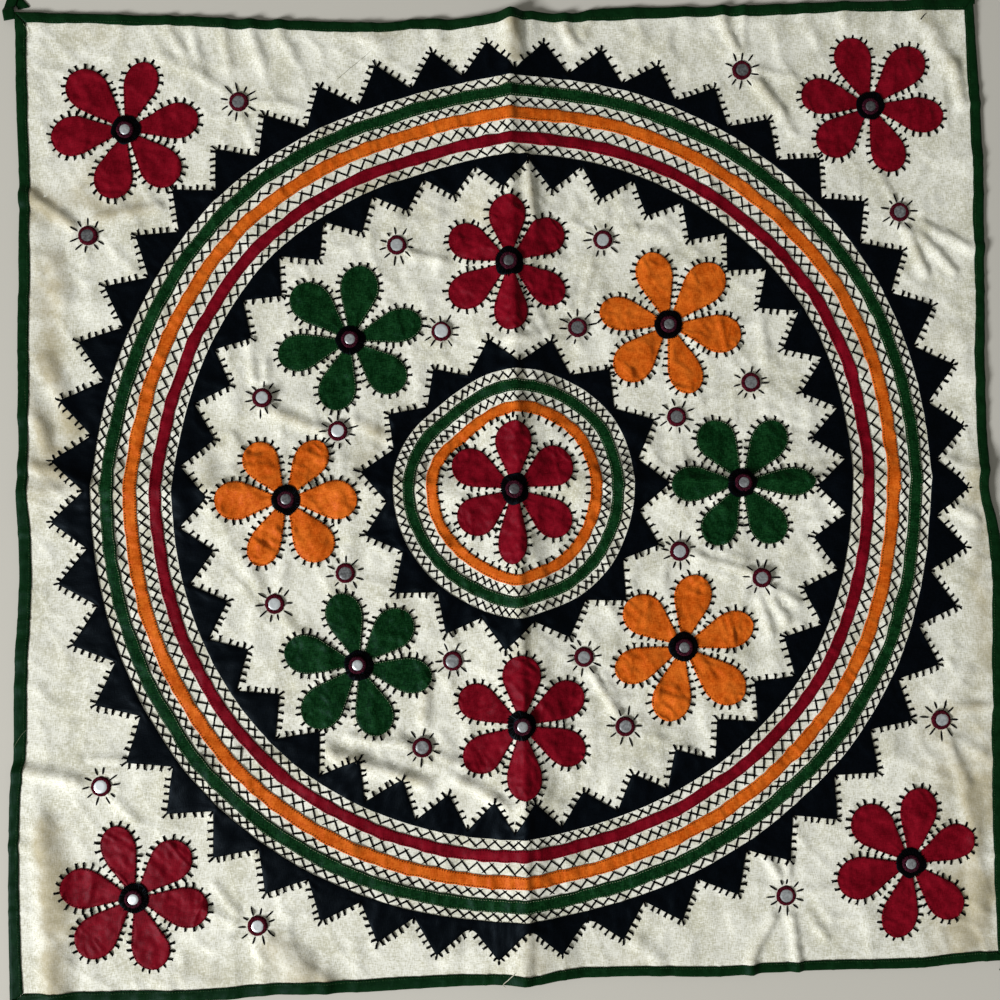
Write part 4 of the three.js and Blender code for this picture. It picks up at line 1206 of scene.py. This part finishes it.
# ---------------------------------------------------------------- wraps round the centres
# The black rounds are wrapped all round with black thread, from under the maroon ring to
# just past their edge, which leaves the edge a little furry.

WRAPS = 38  # round each centre
WRAP_FROM = 7.6
WRAP_TO = 13.9
WRAP_LEAN = 0.16  # radians

starts, ends = [], []
rng = np.random.default_rng(480)
for flower in FLOWERS.values():
    turn = (np.arange(WRAPS) + rng.uniform(-0.35, 0.35, WRAPS)) * 2 * np.pi / WRAPS
    far = WRAP_TO + rng.normal(0, 0.5, WRAPS)
    starts.append(centre_of(flower) + heading(turn) * WRAP_FROM)
    ends.append(centre_of(flower) + heading(turn + WRAP_LEAN) * far[:, None])
points = tubes(np.concatenate(starts), np.concatenate(ends), thick=1.5,
               rise=(CENTRE_BASE + PATCH_THICK, CENTRE_BASE + 0.3), arch=0.5, rings=5, sides=5)
stitches("centre_wraps", points, black_thread)

# --------------------------------------------------------------------- herringbone stitch
# Black thread fills each gap between the rings with herringbone: slanting stitches across
# the gap that cross just inside both of its edges.

# low, high: radii of the two edges of a row. pitch: length of one pair of its stitches.
HERRINGBONE = np.dtype([("low", float), ("high", float), ("pitch", float)])
GAPS = np.array([(386.0, 394.0, 11.2), (365.2, 373.4, 11.6), (341.2, 352.0, 12.0),
                 (320.4, 328.9, 11.2), (104.2, 113.0, 8.3), (83.5, 92.4, 8.3)], HERRINGBONE)
HERRINGBONE_THICK = 2.0
OVERLAP = 0.38  # share of their spacing by which a stitch starts early and ends late


def herringbone(low, high, pitch, seed):
    """Plan ends of the stitches of one gap: they run by turns from its inner to its outer edge
    and back, and cross each other a little inside both edges. Their spacing drifts round it."""
    rng = np.random.default_rng(seed)
    middle = (low + high) / 2
    count = 2 * int(round(2 * np.pi * middle / pitch))
    each = 360 / count
    turn = 2 * np.pi * np.arange(count) / count
    drift = np.sin(3 * turn + seed) + 0.6 * np.sin(7 * turn + 2 * seed)
    at = (np.arange(count) + rng.normal(0, 0.1, count) + 0.012 * count * drift / 3) * each
    before, after = at - OVERLAP * each, at + (1 + OVERLAP) * each
    inner, outer, back_outer, back_inner = (
        circle(radius + rng.normal(0, 0.4, count), end)
        for radius, end in ((low, before), (high, after), (high, before), (low, after)))
    rising = (np.arange(count) % 2 == 0)[:, None]
    return np.where(rising, inner, back_outer), np.where(rising, outer, back_inner)


pairs = [herringbone(*gap, 500 + k) for k, gap in enumerate(GAPS)]
starts, ends = (np.concatenate(side) for side in zip(*pairs))
arch = 0.1 + 0.3 * (np.arange(len(starts)) % 2)
points = tubes(starts, ends, HERRINGBONE_THICK, (CLOTH_THICK, CLOTH_THICK), arch)
stitches("herringbone_stitches", points, black_thread)

# ----------------------------------------------------------------------- blanket stitches
# Every edge of the teeth and petals, and the inner edge of the innermost tape, is held by
# short black stitches that stand square to it. Each ends on the ground in a small fork, where
# the next stitch catches it.

BLANKET_LONG = 5.0
BLANKET_THICK = 2.25
TOOTH_PITCH = 7.1
PETAL_PITCH = 6.8
MIDDLE_PITCH = 8.0
MIDDLE_EDGE = 72.4  # radius of the innermost tape's inner edge
FORK_LONG = 2.8
STEM_INSIDE = 1.1  # how far inside the edge a stitch starts
FORK_BACK = 1.9  # how far before its end it forks
VALLEY_CLEAR = 5.0  # the stitches of a tooth's two sides keep this far from the valley
# Petals crowd toward the flower's middle, so their stitches are shorter there.
ROOM_FROM = 8.0
ROOM_OVER = 34.0
ROOM_LEAST = 0.34
ROOM_MOST = 0.92


def spaced(line, pitch, rng):
    """Evenly spaced places along a plan line, a little uneven, with the line's direction."""
    run = run_along(line)
    count = max(int(round(run[-1] / pitch)), 1)
    at = (np.arange(count) + 0.5 + rng.normal(0, 0.06, count)) * run[-1] / count
    behind, spot, ahead = (np.stack([np.interp(at + step, run, column) for column in line.T],
                                    axis=-1) for step in (-0.5, 0, 0.5))
    return spot, unit(ahead - behind)


def turned_by(way, angle):
    """Plan directions turned by an angle, or by one each."""
    cos, sin = np.cos(angle), np.sin(angle)
    return np.stack([way[:, 0] * cos - way[:, 1] * sin, way[:, 0] * sin + way[:, 1] * cos], axis=-1)


def blanket(spot, out, room, rng):
    """Meshes of blanket stitches: a stem from just inside the edge outward, shorter where it
    has less room, and two short threads that fork from near its end."""
    count = len(spot)
    out = turned_by(out, rng.normal(0, 0.13, count))
    room = room[:, None]
    long = (BLANKET_LONG + rng.normal(0, 0.45, count))[:, None] * room
    end = spot + out * long
    stems = tubes(spot - STEM_INSIDE * out, end, BLANKET_THICK * rng.uniform(0.85, 1.15, count),
                  (PATCH_BASE + PATCH_THICK - 0.1, CLOTH_THICK), arch=0.3, rings=5, sides=5)
    forks = []
    for side in (-1, 1):
        way = turned_by(out, side * rng.uniform(0.3, 0.75, count))
        reach = FORK_LONG * rng.uniform(0.6, 1.15, count)[:, None] * room
        root = end - out * FORK_BACK * room
        forks.append(tubes(root, root + way * reach, BLANKET_THICK * 0.75,
                           (CLOTH_THICK + 0.2, CLOTH_THICK), arch=0.15, rings=3))
    return stems, np.concatenate(forks)


def stitched(name, spots, outs, rooms, rng):
    """One piece of all the blanket stitches of a group of edges."""
    stems, forks = blanket(*[np.concatenate(group) for group in (spots, outs, rooms)], rng)
    stem_faces, fork_faces = tube_faces(stems), tube_faces(forks)
    start = stems.size // 3
    points = np.concatenate([stems.reshape(-1, 3), forks.reshape(-1, 3)])
    made = make_piece(name, points, [*stem_faces, *[group + start for group in fork_faces]],
                      black_thread)


rng = np.random.default_rng(600)
spots, outs = [], []
for ring in RINGS.values():
    corners = tooth_corners(ring)
    outward = 1 if ring["tip"] > ring["band"] else -1
    for number, corner in enumerate(corners):
        following = corners[(number + 1) % len(corners)]
        valley = following if number % 2 == 0 else corner
        spot, way = spaced(np.stack([corner, following]), TOOTH_PITCH, rng)
        clear = lengths(spot - valley) > VALLEY_CLEAR
        out = turned_by(way, -outward * np.pi / 2)
        spots += [spot[clear], corner[None]]
        outs += [out[clear], outward * unit(corner[None])]
stitched("blanket_stitches_teeth", spots, outs, [np.ones(len(spot)) for spot in spots], rng)

spots, outs, rooms = [], [], []
for flower in FLOWERS.values():
    for number in range(PETALS):
        rim = rim_of(*petal_edges(flower, number, RIM_STATIONS))
        clear = lengths(rim - centre_of(flower)) > CENTRE_RADIUS + 2
        spot, way = spaced(rim[clear], PETAL_PITCH, rng)
        spots.append(spot)
        outs.append(turned_by(way, -np.pi / 2))
        away = lengths(spot - centre_of(flower))
        rooms.append(np.clip((away - ROOM_FROM) / ROOM_OVER, ROOM_LEAST, ROOM_MOST))
stitched("blanket_stitches_petals", spots, outs, rooms, rng)

spot, way = spaced(circle(MIDDLE_EDGE, np.linspace(0, 360, 400)), MIDDLE_PITCH, rng)
stitched("blanket_stitches_middle", [spot], [turned_by(way, np.pi / 2)], [np.ones(len(spot))], rng)

# ----------------------------------------------------------------------- machine stitches
# Rows of small machine stitches run just inside the edges of every tape and petal, in pale
# thread on green, brown on orange and dark on red. They are 2.5 mm apart.

MACHINE_PITCH = 2.5
MACHINE_LONG = 1.5
MACHINE_THICK = 0.85
EDGE_ROW = 1.3  # how far inside the edge a row runs
PETAL_ROW = 1.2
STITCH_RISE = 0.35  # how far a stitch's middle stands over the cloth that it is sewn through


def machine_row(line, rng):
    """Plan ends of the stitches along a line."""
    spot, way = spaced(line, MACHINE_PITCH, rng)
    half = MACHINE_LONG / 2 * rng.uniform(0.85, 1.1, len(spot))[:, None]
    return spot - way * half, spot + way * half


def machined(name, lines, finish, rise):
    """One piece of all the machine stitches along some lines."""
    rng = np.random.default_rng(700)
    starts, ends = (np.concatenate(side) for side in zip(*[machine_row(k, rng) for k in lines]))
    points = tubes(starts, ends, MACHINE_THICK, (rise, rise), arch=0.15, rings=3)
    stitches(name, points, finish)


pale_thread = thread("pale_thread", (96, 112, 88), (142, 154, 128))
brown_thread = thread("brown_thread", (46, 26, 12), (84, 54, 30))
dark_thread = thread("dark_thread", (44, 5, 10), (104, 34, 42))
rows = {"green": [], "orange": [], "red": []}
for seed, tape in enumerate(TAPES.values()):
    inner_edge, outer_edge = tape_edges(tape, np.linspace(0, 360, 1200), 60 + 3 * seed)
    step = unit(outer_edge - inner_edge) * EDGE_ROW
    rows[tape["colour"]] += [inner_edge + step, outer_edge - step]
for flower in FLOWERS.values():
    for number in range(PETALS):
        right, left = petal_edges(flower, number, RIM_STATIONS)
        middle = (right + left) / 2
        rim = rim_of(right, left)
        inward = rim_of(middle, middle) - rim
        rim = rim + unit(inward) * np.minimum(PETAL_ROW, lengths(inward))[:, None]
        clear = lengths(rim - centre_of(flower)) > CENTRE_RADIUS
        rows[flower["colour"]].append(rim[clear])
surface = PATCH_BASE + PATCH_THICK + STITCH_RISE
machined("machine_stitches_green", rows["green"], pale_thread, surface)
machined("machine_stitches_orange", rows["orange"], brown_thread, surface)
machined("machine_stitches_red", rows["red"], dark_thread, surface)

# -------------------------------------------------------------------------------- binding
# Green tape folded round each raw edge, as a rounded C with legs about 10.5 mm wide, mitred at
# the corners and machined down 1.6 mm from its inner edge with green thread.

BINDING_WIDE = 10.5
BINDING_STEP = 2.5
BINDING_SEAM = 1.6
SEAM_REACH = 0.975  # share of the half side that the seam reaches
BINDING_TOP = 2 * BINDING_THICK + CLOTH_THICK + 2 * SEAM_GAP
INNER_EDGE = 9.0  # lines deeper than this wander with the tape's inner edge
UPPER_LEG = 3.3  # lines higher than this pucker
BINDING_SECTION = np.array(  # depth from the outer edge, and height, round one cross-section
    [(10.5, 0), (6, 0), (1.9, 0), (0.56, 0.56), (0, 1.9), (0.56, 3.24), (1.9, 3.85),
     (3.6, 3.95), (5.6, 3.9), (7.6, 3.75), (8.9, 3.45), (9.7, 3.5), (10.3, 3.3), (10.5, 3.0),
     (10.4, 2.8), (8.9, 2.8), (1.9, 2.8), (1.2, 2.55), (1.0, 1.9), (1.2, 1.25), (1.9, 1.0),
     (10.4, 1.0)])
SIDES = {
    "binding_left": (LEFT_EDGE, lambda along, depth: (depth - SIDE_HALF, along)),
    "binding_right": (RIGHT_EDGE, lambda along, depth: (SIDE_HALF - depth, along)),
    "binding_bottom": (BOTTOM_EDGE, lambda along, depth: (along, depth - SIDE_HALF)),
    "binding_top": (TOP_EDGE, lambda along, depth: (along, SIDE_HALF - depth)),
}


def binding_points(edge, side, along, depth, rise, seed):
    """Points of the binding at shares of the half side along it: its depth follows its width
    there, the mitre shortens a line by its depth, and the tape wanders and puckers a little."""
    run = along * SIDE_HALF
    depth = depth * through(edge, "wide", run) / BINDING_WIDE
    limit = SIDE_HALF - depth - SEAM_GAP / 2
    wander = 0.3 * ripple(run, 0, 70, seed) * (depth > INNER_EDGE)
    u, v = side(along * limit, depth + wander)
    pucker = 0.16 * ripple(run, depth * 2, 11, seed + 1) * (rise > UPPER_LEG)
    x, y = place(u, v)
    return in_metres(x, y, rim_relief(u, v) + rise + pucker)


binding_cotton = cotton("binding_cotton", (5, 32, 9), (14, 48, 21))
rows = []
for seed, (name, (edge, side)) in enumerate(SIDES.items()):
    along = np.linspace(-1, 1, int(2 * SIDE_HALF / BINDING_STEP))[:, None]
    points = binding_points(edge, side, along, *BINDING_SECTION.T, 800 + 2 * seed)
    tape = make_piece(f"{name}_tape", points, strip_faces(points, False), binding_cotton)
    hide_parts(name)
    run = np.linspace(-SEAM_REACH, SEAM_REACH, 900) * SIDE_HALF
    u, v = side(run, through(edge, "wide", run) - BINDING_SEAM)
    rows.append(np.stack(place(u, v), axis=-1))
leaf_thread = thread("leaf_thread", (28, 52, 28), (66, 90, 60))
machined("machine_stitches_binding", rows, leaf_thread, BINDING_TOP + 0.05)

# ---------------------------------------------------------------------------------- loops
# A loop of the same tape hangs from each corner: it comes out under the binding, turns back
# on itself at its tip and is sewn down on top of the corner.

LOOP_LONG = 38.0
LOOP_WIDE = 11.0
LOOP_THICK = 0.9
LOOP_GAP = 1.2  # between the middles of its two runs
LOOP_FROM = 2.5  # the lower run starts here, under the binding
LOOP_BACK = -8.0  # the upper run ends here, on top of the corner
LOOP_MEET = 15.0  # its runs lie on each other from this far out
LOOP_SEAT = BINDING_TOP + SEAM_GAP + LOOP_THICK / 2
# turn: the way a loop points, in degrees. wide: its width over both runs at the corner.
LOOPS = {
    "loop_top_left": dict(x=-458, y=461, turn=100, wide=24),
    "loop_top_right": dict(x=451, y=466, turn=86, wide=20),
    "loop_bottom_left": dict(x=-468, y=-457, turn=250, wide=20),
    "loop_bottom_right": dict(x=446, y=-448, turn=300, wide=18),
}


def loop_points(loop, seed):
    """Points of a loop, station by station: the lower run out, a half turn at the tip and the
    upper run back, climbing onto the corner. The runs start apart and meet further out."""
    low, tip = LOOP_THICK / 2, LOOP_LONG - LOOP_GAP
    out = np.linspace(LOOP_FROM, tip, 26)
    bend = np.radians(np.linspace(-90, 90, 9)[1:-1])
    back = np.linspace(tip, LOOP_BACK, 34)
    along = np.concatenate([out, tip + LOOP_GAP / 2 * np.cos(bend), back])
    climb = smooth_step(np.clip((6 - back) / 5, 0, 1))
    seat = low + LOOP_GAP + (LOOP_SEAT - low - LOOP_GAP) * climb
    height = np.concatenate([0 * out + low, low + LOOP_GAP / 2 * (1 + np.sin(bend)), seat])
    apart = (loop["wide"] - LOOP_WIDE) / 2 * np.clip((LOOP_MEET - along) / 11, 0, 1)
    side = apart * np.concatenate([0 * out - 1, np.sin(bend), 0 * back + 1])
    ahead = unit(np.stack([np.gradient(along), np.gradient(height)], axis=-1))
    across = LOOP_WIDE / 2 * np.array([-1, -0.9, -0.45, 0, 0.45, 0.9, 1, 0.9, 0.45, 0, -0.45, -0.9])
    through_cloth = LOOP_THICK / 2 * np.array([0, 1, 1, 1.15, 1, 1, 0, -1, -1, -0.9, -1, -1])
    wave = 0.2 * ripple(along, 0, 16, 830 + seed)[:, None]
    along = along[:, None] - ahead[:, 1:] * through_cloth
    rise = height[:, None] + ahead[:, :1] * through_cloth
    side = side[:, None] + across + wave
    turn = np.radians(loop["turn"])
    x = loop["x"] + along * np.cos(turn) - side * np.sin(turn)
    y = loop["y"] + along * np.sin(turn) + side * np.cos(turn)
    return in_metres(x, y, np.maximum(rise, 0))


for seed, (name, loop) in enumerate(LOOPS.items()):
    points = loop_points(loop, seed)
    tape = make_piece(f"{name}_tape", points, strip_faces(points, False), binding_cotton)
    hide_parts(name)

# -------------------------------------------------------------------------- loose threads
# A few ends were never trimmed: a black stitch that missed its edge, pale ends of sewing
# thread on the binding or just inside it, and one long grey thread across the upper left.

LOOSE_THICK = 0.35
LOOSE_SIDES = 5


def cut_corners(line):
    """The line with each corner cut off a quarter of the way along both of its sides."""
    cut = (line[:-1] * 3 + line[1:]) / 4, (line[:-1] + line[1:] * 3) / 4
    return np.concatenate([line[:1], np.stack(cut, axis=1).reshape(-1, 2), line[-1:]])


def loose_thread(name, bends, thick, rise, finish):
    """A thread lying on the cloth along plan points, its corners cut three times over."""
    line = cut_corners(cut_corners(cut_corners(np.array(bends, float))))
    way = unit(np.gradient(line, axis=0))
    angle = (np.arange(LOOSE_SIDES) + 0.5) * 2 * np.pi / LOOSE_SIDES
    out = thick / 2 * np.cos(angle)
    x = line[:, :1] - way[:, 1:] * out
    y = line[:, 1:] + way[:, :1] * out
    level = relief(line[:, 0], line[:, 1])[:, None] + rise + thick / 2 * (1.2 + np.sin(angle))
    points = in_metres(x, y, level)
    made = make_piece(name, points, strip_faces(points, False), finish)


on_binding = BINDING_TOP + 0.1
grey_thread = thread("grey_thread", (138, 136, 124), (170, 168, 156))
loose_thread("loose_stitch", [(398, 443), (403, 449), (409, 452.5)], 1.5, CLOTH_THICK,
             black_thread)
loose_thread("loose_end_left", [(-463, -224), (-458, -214), (-452, -208)], LOOSE_THICK, on_binding,
             pale_thread)
white_thread = thread("white_thread", (184, 182, 166), (222, 220, 206))
loose_thread("loose_end_bottom", [(-20, -452), (-23, -450), (-18, -446), (-15, -443), (-12, -440)],
             0.8, on_binding, white_thread)
loose_thread("loose_end_top", [(200, 447), (206, 451), (213, 449), (211, 443), (218, 440)],
             LOOSE_THICK, CLOTH_THICK, pale_thread)
loose_thread("long_thread", [(-160, 392), (-130, 417), (-99, 441)], 0.3, CLOTH_THICK + 0.2,
             grey_thread)
loose_thread("corner_end", [(-454, 452), (-449, 447), (-446, 440), (-448, 434)], LOOSE_THICK,
             on_binding, pale_thread)

# ----------------------------------------------------------------------------------- room
# Not part of the piece: a plain pale floor, one large soft lamp low on the near left that
# gives the fall of light across the cloth, and a pale surround that fills the shadows.

floor_finish = Finish("floor", Base_Color=shade(196, 194, 188), Roughness=0.95,
                      Specular_IOR_Level=0.1)
floor_mesh = bpy.data.meshes.new("floor")
floor_mesh.from_pydata([(-8, -8, 0), (8, -8, 0), (8, 8, 0), (-8, 8, 0)], [], [(0, 1, 2, 3)])
floor_mesh.transform(Matrix.Translation((0, 0, -0.0003)))
floor_mesh.materials.append(floor_finish.material)
floor = add_object("floor", floor_mesh)

world = bpy.data.worlds.new("surround")
world.use_nodes = True
world.node_tree.nodes["Background"].inputs["Color"].default_value = shade(232, 231, 219)
world.node_tree.nodes["Background"].inputs["Strength"].default_value = 0.27
bpy.context.scene.world = world

LAMP_TURN = 215.0  # degrees round the piece
LAMP_RISE = 31.0
LAMP_AWAY = 6.0
lamp_data = bpy.data.lights.new("lamp", "AREA")
lamp_data.shape = "DISK"
lamp_data.size = 1.9
lamp_data.energy = 470
lamp_data.color = (1.0, 0.995, 0.975)
lamp = add_object("lamp", lamp_data)
turn, rise = np.radians(LAMP_TURN), np.radians(LAMP_RISE)
toward = Vector((*(heading(turn) * np.cos(rise)), np.sin(rise)))
lamp.location = toward * LAMP_AWAY
lamp.rotation_euler = toward.to_track_quat("Z", "Y").to_euler()

CAMERA_AT = (-40.7, -43.4, 983.0)
CAMERA_TURN = (2.134, -1.476, -1.324)  # degrees from looking straight down
camera_data = bpy.data.cameras.new("camera")
camera_data.sensor_width = 36
camera_data.lens = 37.9
camera = add_object("camera", camera_data)
camera.location = in_metres(*CAMERA_AT)
camera.rotation_euler = Euler(np.radians(CAMERA_TURN), "XYZ")
bpy.context.scene.camera = camera
bpy.context.scene.view_settings.view_transform = "Standard"
